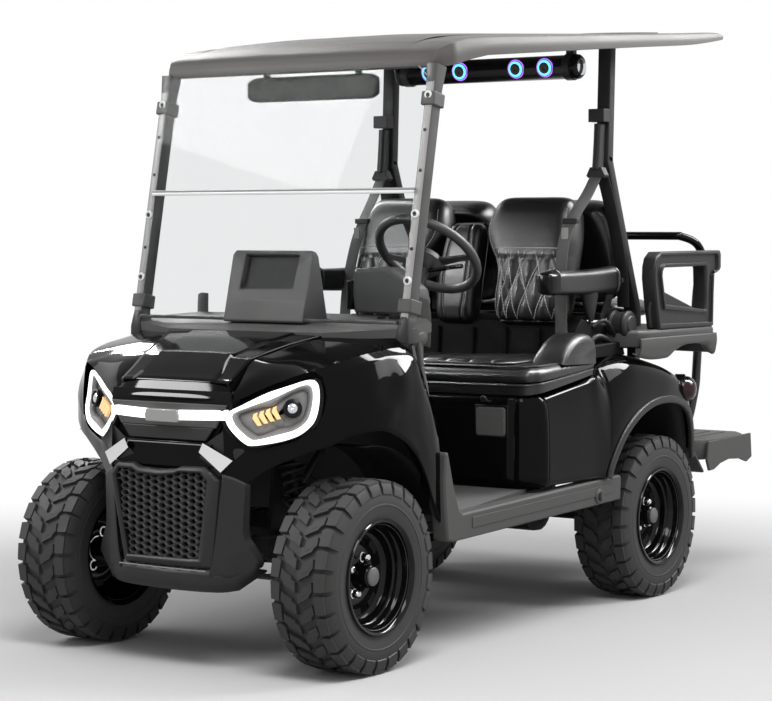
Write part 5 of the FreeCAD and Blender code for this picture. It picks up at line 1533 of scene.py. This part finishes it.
def make_armrests():
    """Rounded bars with piping, a cap and a cone below."""
    for side, sign in (("left", 1), ("right", -1)):
        body = "armrest_" + side
        path = curve([(sign * 474, 1120, 1092), (sign * 474, 1160, 1091), (sign * 474, 1260, 1090),
            (sign * 474, 1380, 1092), (sign * 474, 1480, 1096), (sign * 474, 1540, 1100)], 6)
        size = np.concatenate([np.linspace(0.9, 1.0, 8), np.ones(len(path) - 12), np.linspace(0.99, 0.8, 4)])
        arm = sweep(rounded(62, 86, 24, 6), path, (0, 0, 1), size * np.linspace(0.86, 1.04, len(path)))
        cap_path = np.array([(sign * 474, y, 1091.0) for y in (1072, 1076, 1086, 1112, 1124)])
        front = sweep(rounded(60, 76, 20, 6), cap_path, (0, 0, 1), [0.72, 0.86, 0.95, 1.0, 1.0])
        rings = []
        for y, size_y in ((1130, 0.9), (1516, 1.04)):
            turn = np.vstack([rounded(63, 87, 25, 6), rounded(63, 87, 25, 6)[:1]]) * size_y
            line = np.stack([sign * 474 + turn[:, 0], np.full(len(turn), float(y)), 1094 + turn[:, 1]], -1)
            rings.append(sweep(circle(3.2, 8), line, (0, 1, 0)))
        cone = np.array([[(sign * (472 + r * 0.7 * math.cos(t)), y + r * 1.2 * math.sin(t),
            z) for t in full_turn(20)] for z, r, y in ((1066, 36, 1376), (1040, 34, 1376), (1000, 24, 1380),
            (966, 13, 1386), (958, 8, 1388))])
        piece("arm_pad_" + side, [arm], "vinyl", body=body, replaces=("armrest_" + side,), sharp=60)
        piece("arm_cap_" + side, [front], "gloss_trim", body=body, sharp=60)
        piece("arm_piping_" + side, rings, "piping", body=body)
        piece("arm_cone_" + side, [capped(cone)], "satin", body=body, sharp=60)


def make_rear_cushion():
    """A flat cushion with channels from front to back."""
    def middle(a, b):
        """The cushion's level plane."""
        x, y = a * 402, 1868 + b * 172
        return np.stack([x, y, np.full_like(x, 985.0)], -1), np.stack([0 * x, 0 * x, np.ones_like(x)], -1)

    def channels(points, a, b):
        """Grooves at an even pitch, as on the bench."""
        across = np.abs(((points[..., 0] / 100.0) % 1.0) - 0.5)
        return 5.0 * (1 - smoothstep(0.0, 0.12, across))
    upholstered("rear_cushion", middle, 36, 34, channels, [], replaces=("rear_seat_bottom",),
        body="rear_seat_bottom", count=(110, 60))


def make_struts_and_belts():
    """The bent struts, and the belts' reels, guides and straps on them."""
    tubes = []
    for sign in (1, -1):
        path = curve([(sign * 441, 1738, 930), (sign * 441, 1738, 985), (sign * 441, 1640, 1225),
            (sign * 441, 1540, 1474), (sign * 441, 1531, 1508), (sign * 441, 1533, 1540),
            (sign * 441, 1546, 1880)], 5, corners=(1,))
        tubes.append(sweep(rounded(38, 50, 6), path, (1, 0, 0)))
    piece("rear_strut_tubes", tubes, "cast", replaces=("rear_struts",))
    parts, straps, dark, silver = [], [], [], []
    for sign in (1, -1):
        x = sign * 441
        reel = lathe([(0.5, 470), (36, 470), (46, 474), (48, 482), (48, 489), (43, 491), (43, 528), (48, 530),
            (48, 538), (44, 544), (30, 547), (28, 551), (0.5, 552)], 40, (0, 1532, 944), sign)
        guide = brick(x - 30, x + 30, 1470, 1512, 1628, 1672)
        parts += [reel, guide]
        sleeve = sweep(rounded(46, 26, 9, 4),
            curve([(x, 1498, 1622), (x, 1494, 1560), (x, 1488, 1500), (x, 1484, 1466)], 4), (1, 0, 0))
        hood_part = plate([(-36, 1448), (-22, 1476), (22, 1476), (36, 1448), (30, 1440), (-30, 1440)], 1,
            1468, 1500)
        parts += [sleeve, (hood_part[0] + np.array([x, 0, 0]), hood_part[1])]
        ribbon = curve([(x, 1478, 1450), (x - sign * 6, 1420, 1380), (x - sign * 16, 1352, 1310),
            (x - sign * 20, 1296, 1230), (x - sign * 14, 1262, 1120), (x - sign * 6, 1250, 1020),
            (x, 1246, 880)], 8)
        straps.append(sweep(rounded(44, 4, 1.5), ribbon, (0, 1, 0)))
        clip = brick(x - sign * 18 - 28, x - sign * 18 + 28, 1326, 1346, 1286, 1304)
        parts.append(clip)
        rear_ribbon = curve([(x + sign * 8, 1500, 1452), (x + sign * 14, 1530, 1380),
            (x + sign * 22, 1580, 1230), (x + sign * 26, 1612, 1100), (x + sign * 28, 1618, 1000)], 8)
        dark.append(sweep(rounded(4, 46, 1.5), rear_ribbon, (1, 0, 0)))
        plate_part = brick(x + sign * 22 - 3, x + sign * 22 + 3, 1516, 1560, 952, 1000)
        parts.append(plate_part)
        silver.append(brick(x - sign * 19 - 12, x - sign * 19 + 12, 1296, 1300, 1232, 1272))
    piece("belt_reels", parts, "satin", replaces=("belts",), bevel=4.0)
    piece("belt_straps", straps, "webbing")
    piece("belt_rear_straps", dark, "cast")
    piece("belt_tongues", silver, "bezel", bevel=1.0)


# Steering and running gear

def make_steering_wheel():
    """The wheel's grip: centre + (R + r cos k) outward + r sin k axis, with spokes, hub and stalk."""
    centre = np.array([270.0, 702.0, 1188.0])
    axis = np.array([0.0, 0.661, 0.750])
    axis /= np.linalg.norm(axis)
    side = np.array([1.0, 0, 0])
    up = np.cross(axis, side)
    turn = full_turn(72)
    round_turn = full_turn(16)
    spoke = (centre + np.outer(np.cos(turn), side) * 164 + np.outer(np.sin(turn), up) * 168)
    outward = np.outer(np.cos(turn), side) + np.outer(np.sin(turn), up)
    grid = np.stack([spoke + outward * 14.5 * math.cos(k) + axis * 15.5 * math.sin(k) for k in round_turn])
    piece("wheel_grip", [surface(grid, close_u=True, close_v=True)], "grip", body="steering_wheel",
        replaces=("steering_wheel",))
    parts = []
    for angle in (math.radians(-2), math.radians(182), math.radians(90)):
        out = side * math.cos(angle) - up * math.sin(angle)
        width = 30.0 if abs(math.cos(angle)) > 0.5 else 34.0
        path = np.array([centre + out * r - axis * d for r,
            d in ((40, 26), (80, 22), (120, 12), (160, 3), (176, 0))])
        parts.append(sweep(rounded(width, 12, 5), path, axis, [1.25, 1.0, 0.85, 0.85, 0.95]))
    hub = np.stack([centre + (np.outer(np.cos(turn), side) + np.outer(np.sin(turn), up)) * r - axis * d for r,
        d in ((30, 70), (46, 60), (62, 34), (60, 18), (48, 10), (20, 6), (0.5, 5))])
    piece("wheel_spokes", parts, "grip", body="steering_wheel", bevel=1.5)
    piece("wheel_hub", [surface(hub, close_v=True)], "grip", body="steering_wheel", closed=False)
    insert = []
    for angle in (math.radians(-2), math.radians(182)):
        out = side * math.cos(angle) - up * math.sin(angle)
        path = np.array([centre + out * r - axis * (d - 7) for r,
            d in ((52, 24), (90, 19), (130, 9), (158, 3))])
        insert.append(sweep(rounded(12, 5, 2), path, axis))
    piece("wheel_inserts", insert, "bar_box", body="steering_wheel")
    stalk = tube([(300, 660, 1138), (340, 650, 1142), (400, 640, 1150), (440, 636, 1154)], 7.0, (0, 1, 0))
    piece("stalk", [stalk], "gloss_trim")


def spring(start, end, radius, wire, turns, count=220):
    """A coil: start + (end - start) t + r (cos 2 pi n t, sin 2 pi n t) square to its line."""
    start, end = np.array(start, float), np.array(end, float)
    line = end - start
    length = np.linalg.norm(line)
    along = line / length
    side = np.cross(along, (0, 1.0, 0))
    side /= np.linalg.norm(side)
    other = np.cross(along, side)
    t = np.linspace(0, 1, count)[:, None]
    angle = 2 * math.pi * turns * t
    path = start + line * t + radius * (np.cos(angle) * side + np.sin(angle) * other)
    return sweep(circle(wire, 8), path, tuple(along))


def make_running_gear():
    """Dampers and springs from foot + (head - foot) t, and the brake hoses."""
    coils, bodies, reds = [], [], []
    for sign in (1, -1):
        foot, head = np.array([sign * 322, 12, 275.0]), np.array([sign * 240, 12, 612.0])
        coils.append(spring(foot + (head - foot) * 0.28, foot + (head - foot) * 0.9, 34, 5.5, 8))
        bodies.append(rod(foot, head, 13))
        bodies.append(rod(foot + (head - foot) * 0.04, foot + (head - foot) * 0.42, 22))
        bodies.append(rod(foot + (head - foot) * 0.26, foot + (head - foot) * 0.29, 42))
        bodies.append(rod(foot + (head - foot) * 0.89, foot + (head - foot) * 0.92, 42))
        reds.append(rod(foot + (head - foot) * 0.52, foot + (head - foot) * 0.66, 19))
    piece("damper_bodies", bodies, "cast", replaces=("coilovers",))
    piece("damper_springs", coils, "steel")
    piece("damper_sleeves", reds, "red")
    hoses = []
    for sign in (1, -1):
        hoses.append(tube([(sign * 392, -30, 300), (sign * 372, -60, 380), (sign * 330, -64, 440),
            (sign * 280, -40, 470), (sign * 232, -10, 480)], 6.0, (0, 1, 0.2)))
        hoses.append(tube(
            [(sign * 398, 40, 320), (sign * 380, 76, 420), (sign * 340, 96, 500), (sign * 262, 90, 540)], 5.0,
            (0, 1, 0.2)))
    piece("brake_hoses", hoses, "grip")


# Light and view

def lamp(name, place, aim, size, power, shape="RECTANGLE", colour=(1, 1, 1), spread=None):
    """An area lamp at a place, aimed at a point."""
    data = bpy.data.lights.new(name, "AREA")
    data.shape = shape
    data.size, data.size_y = size
    data.energy = power
    data.color = colour
    if spread is not None:
        data.spread = spread
    thing = bpy.data.objects.new(name, data)
    thing.location = place
    thing.rotation_euler = (Vector(aim) - Vector(place)).to_track_quat("-Z", "Y").to_euler()
    bpy.context.scene.collection.objects.link(thing)
    return thing


def make_world():
    """White where the camera, glass or gloss looks, and a plain level for the light it gives."""
    world = bpy.data.worlds.new("studio")
    bpy.context.scene.world = world
    world.use_nodes = True
    tree = world.node_tree
    background = tree.nodes["Background"]
    put(background, "Color", (1, 1, 1, 1))
    rays = tree.nodes.new("ShaderNodeLightPath")
    first = tree.nodes.new("ShaderNodeMath")
    first.operation = "MAXIMUM"
    second = tree.nodes.new("ShaderNodeMath")
    second.operation = "MAXIMUM"
    wire(rays, "Is Camera Ray", first, 0)
    wire(rays, "Is Transmission Ray", first, 1)
    strength = tree.nodes.new("ShaderNodeMapRange")
    wire(first, "Value", second, 0)
    wire(rays, "Is Glossy Ray", second, 1)
    wire(second, "Value", strength, "Value")
    put(strength, "To Min", STUDIO_LEVEL)
    put(strength, "To Max", 1.0)
    wire(strength, "Result", background, "Strength")


def make_camera():
    """The photograph's view: turned by its azimuth and pitched down, with no shift."""
    data = bpy.data.cameras.new("photo view")
    data.sensor_width = 36.0
    data.lens = PHOTO_LENS
    thing = bpy.data.objects.new("photo view", data)
    azimuth, pitch = PHOTO_AZIMUTH, PHOTO_PITCH
    thing.location = PHOTO_PLACE
    forward = Vector((-math.sin(azimuth) * math.cos(pitch), math.cos(azimuth) * math.cos(pitch),
        -math.sin(pitch)))
    thing.rotation_euler = forward.to_track_quat("-Z", "Y").to_euler()
    bpy.context.scene.collection.objects.link(thing)
    bpy.context.scene.camera = thing


def make_floor():
    """A pale round floor that runs up to the white background, fading by its distance from the cart."""
    rings = np.concatenate([[0.01], np.linspace(0.4, 3.0, 14), [3.6, 4.4, 6.0, 9.0, 14.0, 22.0]])
    turn = full_turn(64)
    grid = np.stack([np.stack([r * np.cos(turn), r * np.sin(turn), 0 * turn], -1) for r in rings])
    verts, faces = surface(grid, close_v=True)
    mesh = bpy.data.meshes.new("floor")
    mesh.from_pydata(verts.tolist(), [], [f[::-1] for f in faces])
    thing = bpy.data.objects.new("floor", mesh)
    bpy.context.scene.collection.objects.link(thing)
    material = bpy.data.materials.new("studio floor")
    material.use_nodes = True
    tree = material.node_tree
    shader = tree.nodes["Principled BSDF"]
    put(shader, "Base Color", (0.82, 0.82, 0.82, 1))
    put(shader, "Roughness", 0.9)
    put(shader, "Specular IOR Level", 0.0)
    place = tree.nodes.new("ShaderNodeTexCoord")
    length = tree.nodes.new("ShaderNodeVectorMath")
    length.operation = "LENGTH"
    wire(place, "Object", length, 0)
    fade = tree.nodes.new("ShaderNodeMapRange")
    fade.interpolation_type = "SMOOTHSTEP"
    wire(length, "Value", fade, "Value")
    put(fade, "From Min", 1.5)
    put(fade, "From Max", 3.6)
    glow = tree.nodes.new("ShaderNodeEmission")
    mix = tree.nodes.new("ShaderNodeMixShader")
    wire(fade, "Result", mix, "Fac")
    wire(shader, "BSDF", mix, 1)
    wire(glow, "Emission", mix, 2)
    tree.links.new(mix.outputs["Shader"], tree.nodes["Material Output"].inputs["Surface"])
    mesh.materials.append(material)
    return thing


def make_stage():
    """Floor, camera, soft lamps, and the boxes that only gloss shows."""
    make_world()
    make_camera()
    floor = make_floor()
    lights = [lamp("key", (2.4, -3.2, 5.0), (0.2, 0.0, 0.8), (2.6, 2.0), 165),
        lamp("rear side", (4.0, 2.8, 4.4), (0.5, 0.8, 1.0), (1.8, 2.4), 110),
        lamp("far side", (-4.4, -1.0, 3.4), (0, 0, 0.9), (3.0, 2.0), 45)]
    shine = [lamp("front box", (-2.55, -3.37, 3.1), (0, -1.31, 0.81), (1.3, 0.8), 170),
        lamp("ridge box", (1.45, 1.2, 3.9), (0.52, -0.7, 0.85), (0.75, 4.6), 480),
        lamp("far box", (-2.6, 0.9, 3.3), (0, -1.1, 0.88), (0.3, 2.2), 130)]
    for light in shine:
        light.visible_diffuse = False
    lights += shine
    view = bpy.context.scene.view_settings
    view.view_transform = "Standard"


# Add-on

GROUPS = [
    ("finishes", "Finishes", (make_finishes,)),
    ("nodes", "Packed nodes", (dress_nodes,)),
    ("nose", "Nose, hood and fenders", (make_front_body, make_hood)),
    ("lamps", "Lamps", (make_lamps,)),
    ("grille", "Grille and bumper", (make_grille, make_bumper)),
    ("cowl", "Cowl and dash", (make_cowl, make_binnacle)),
    ("screen", "Windshield and pillars", (make_screen,)),
    ("overhead", "Roof, mirror and sound bar", (make_roof, make_mirror, make_sound_bar)),
    ("pod", "Seat pod and rear fenders", (make_rear_body, make_charge_door, make_tail_lamps, make_rockers)),
    ("tail", "Tray, armrests and step", (make_tray, make_rear_armrests, make_footplate, make_grab_rail)),
    ("wheels", "Tyres and rims", (make_wheels,)),
    ("seats", "Seats and belts",
     (make_front_backs, make_seat_shadow, make_rear_backs, make_front_bench, make_armrests, make_rear_cushion,
      make_struts_and_belts)),
    ("gear", "Steering and running gear", (make_steering_wheel, make_running_gear)),
    ("stage", "Light, floor and camera", (make_stage,)),
]


def size_field(label, text, default):
    """A length field, in metres."""
    return bpy.props.FloatProperty(name=label, description=text, default=default / MM, precision=4, min=0.01,
                                   unit="LENGTH", subtype="DISTANCE")


def colour_field(label, text, default):
    """A colour field: the darker tone of a finish."""
    return bpy.props.FloatVectorProperty(name=label, description=text, default=default, size=3, min=0.0,
        max=1.0, precision=4, subtype="COLOR")


class CartSettings(bpy.types.PropertyGroup):
    """Sizes and colours of the cart that a user would change before its pieces are built."""
    wheelbase: size_field("Wheelbase", "From the front axle line to the rear one", 1700.0)
    half_track: size_field("Half track", "From the cart's middle to a tyre's middle", 479.0)
    tyre_radius: size_field("Tyre radius", "From the axle to the top of the tread", 279.4)
    pillar_offset: size_field("Pillar offset", "From the cart's middle to a front pillar", 508.0)
    screen_lean: bpy.props.FloatProperty(name="Windshield lean",
        description="How far the windshield leans back", default=math.radians(11.4), min=0.0,
        max=math.radians(40), unit="ROTATION", subtype="ANGLE")
    panel_colour: colour_field("Panels", "Gloss of the hood, fenders and pod", (0.0018, 0.0018, 0.0018))
    trim_colour: colour_field("Trim", "Textured plastic of the rockers, cowl and tray",
        (0.06, 0.0591, 0.0582))
    roof_colour: colour_field("Roof", "Plastic of the canopy's front end", (0.070, 0.065, 0.061))
    seat_colour: colour_field("Seats", "Vinyl of the cushions and backs", (0.0045, 0.0045, 0.0048))
    stitch_colour: colour_field("Stitches", "Thread of the quilting", (0.34, 0.34, 0.345))
    rim_colour: colour_field("Rims", "Paint of the steel rims", (0.003, 0.003, 0.003))


def make_operator(key, label, steps):
    """An operator class that calls its steps in order."""
    def execute(self, context):
        """Builds this group's pieces."""
        for step in steps:
            step()
        return {"FINISHED"}
    return type("CART_OT_" + key, (bpy.types.Operator,),
                {"bl_idname": "cart." + key, "bl_label": label, "__doc__": "Builds: " + label.lower(),
                 "execute": execute})


OPERATORS = [make_operator(key, label, steps) for key, label, steps in GROUPS]


class CART_PT_sidebar(bpy.types.Panel):
    """Lists the cart's pieces in the 3D view's sidebar."""
    bl_label = "Golf cart"
    bl_idname = "CART_PT_sidebar"
    bl_space_type = "VIEW_3D"
    bl_region_type = "UI"
    bl_category = "Cart"

    def draw(self, context):
        """One button for each operator, and one field for each setting."""
        for name in CartSettings.__annotations__:
            self.layout.prop(context.scene.cart, name)
        for operator in OPERATORS:
            self.layout.operator(operator.bl_idname)


CLASSES = [CartSettings, *OPERATORS, CART_PT_sidebar]


def register():
    """Adds the settings, the operators and the panel."""
    for item in CLASSES:
        bpy.utils.register_class(item)
    bpy.types.Scene.cart = bpy.props.PointerProperty(type=CartSettings)


def unregister():
    """Takes them away again."""
    del bpy.types.Scene.cart
    for item in reversed(CLASSES):
        bpy.utils.unregister_class(item)


def main():
    """Builds the whole cart and writes its size."""
    register()
    for key, _, _ in GROUPS:
        getattr(bpy.ops.cart, key)()
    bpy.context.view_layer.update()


if __name__ == "__main__":
    main()
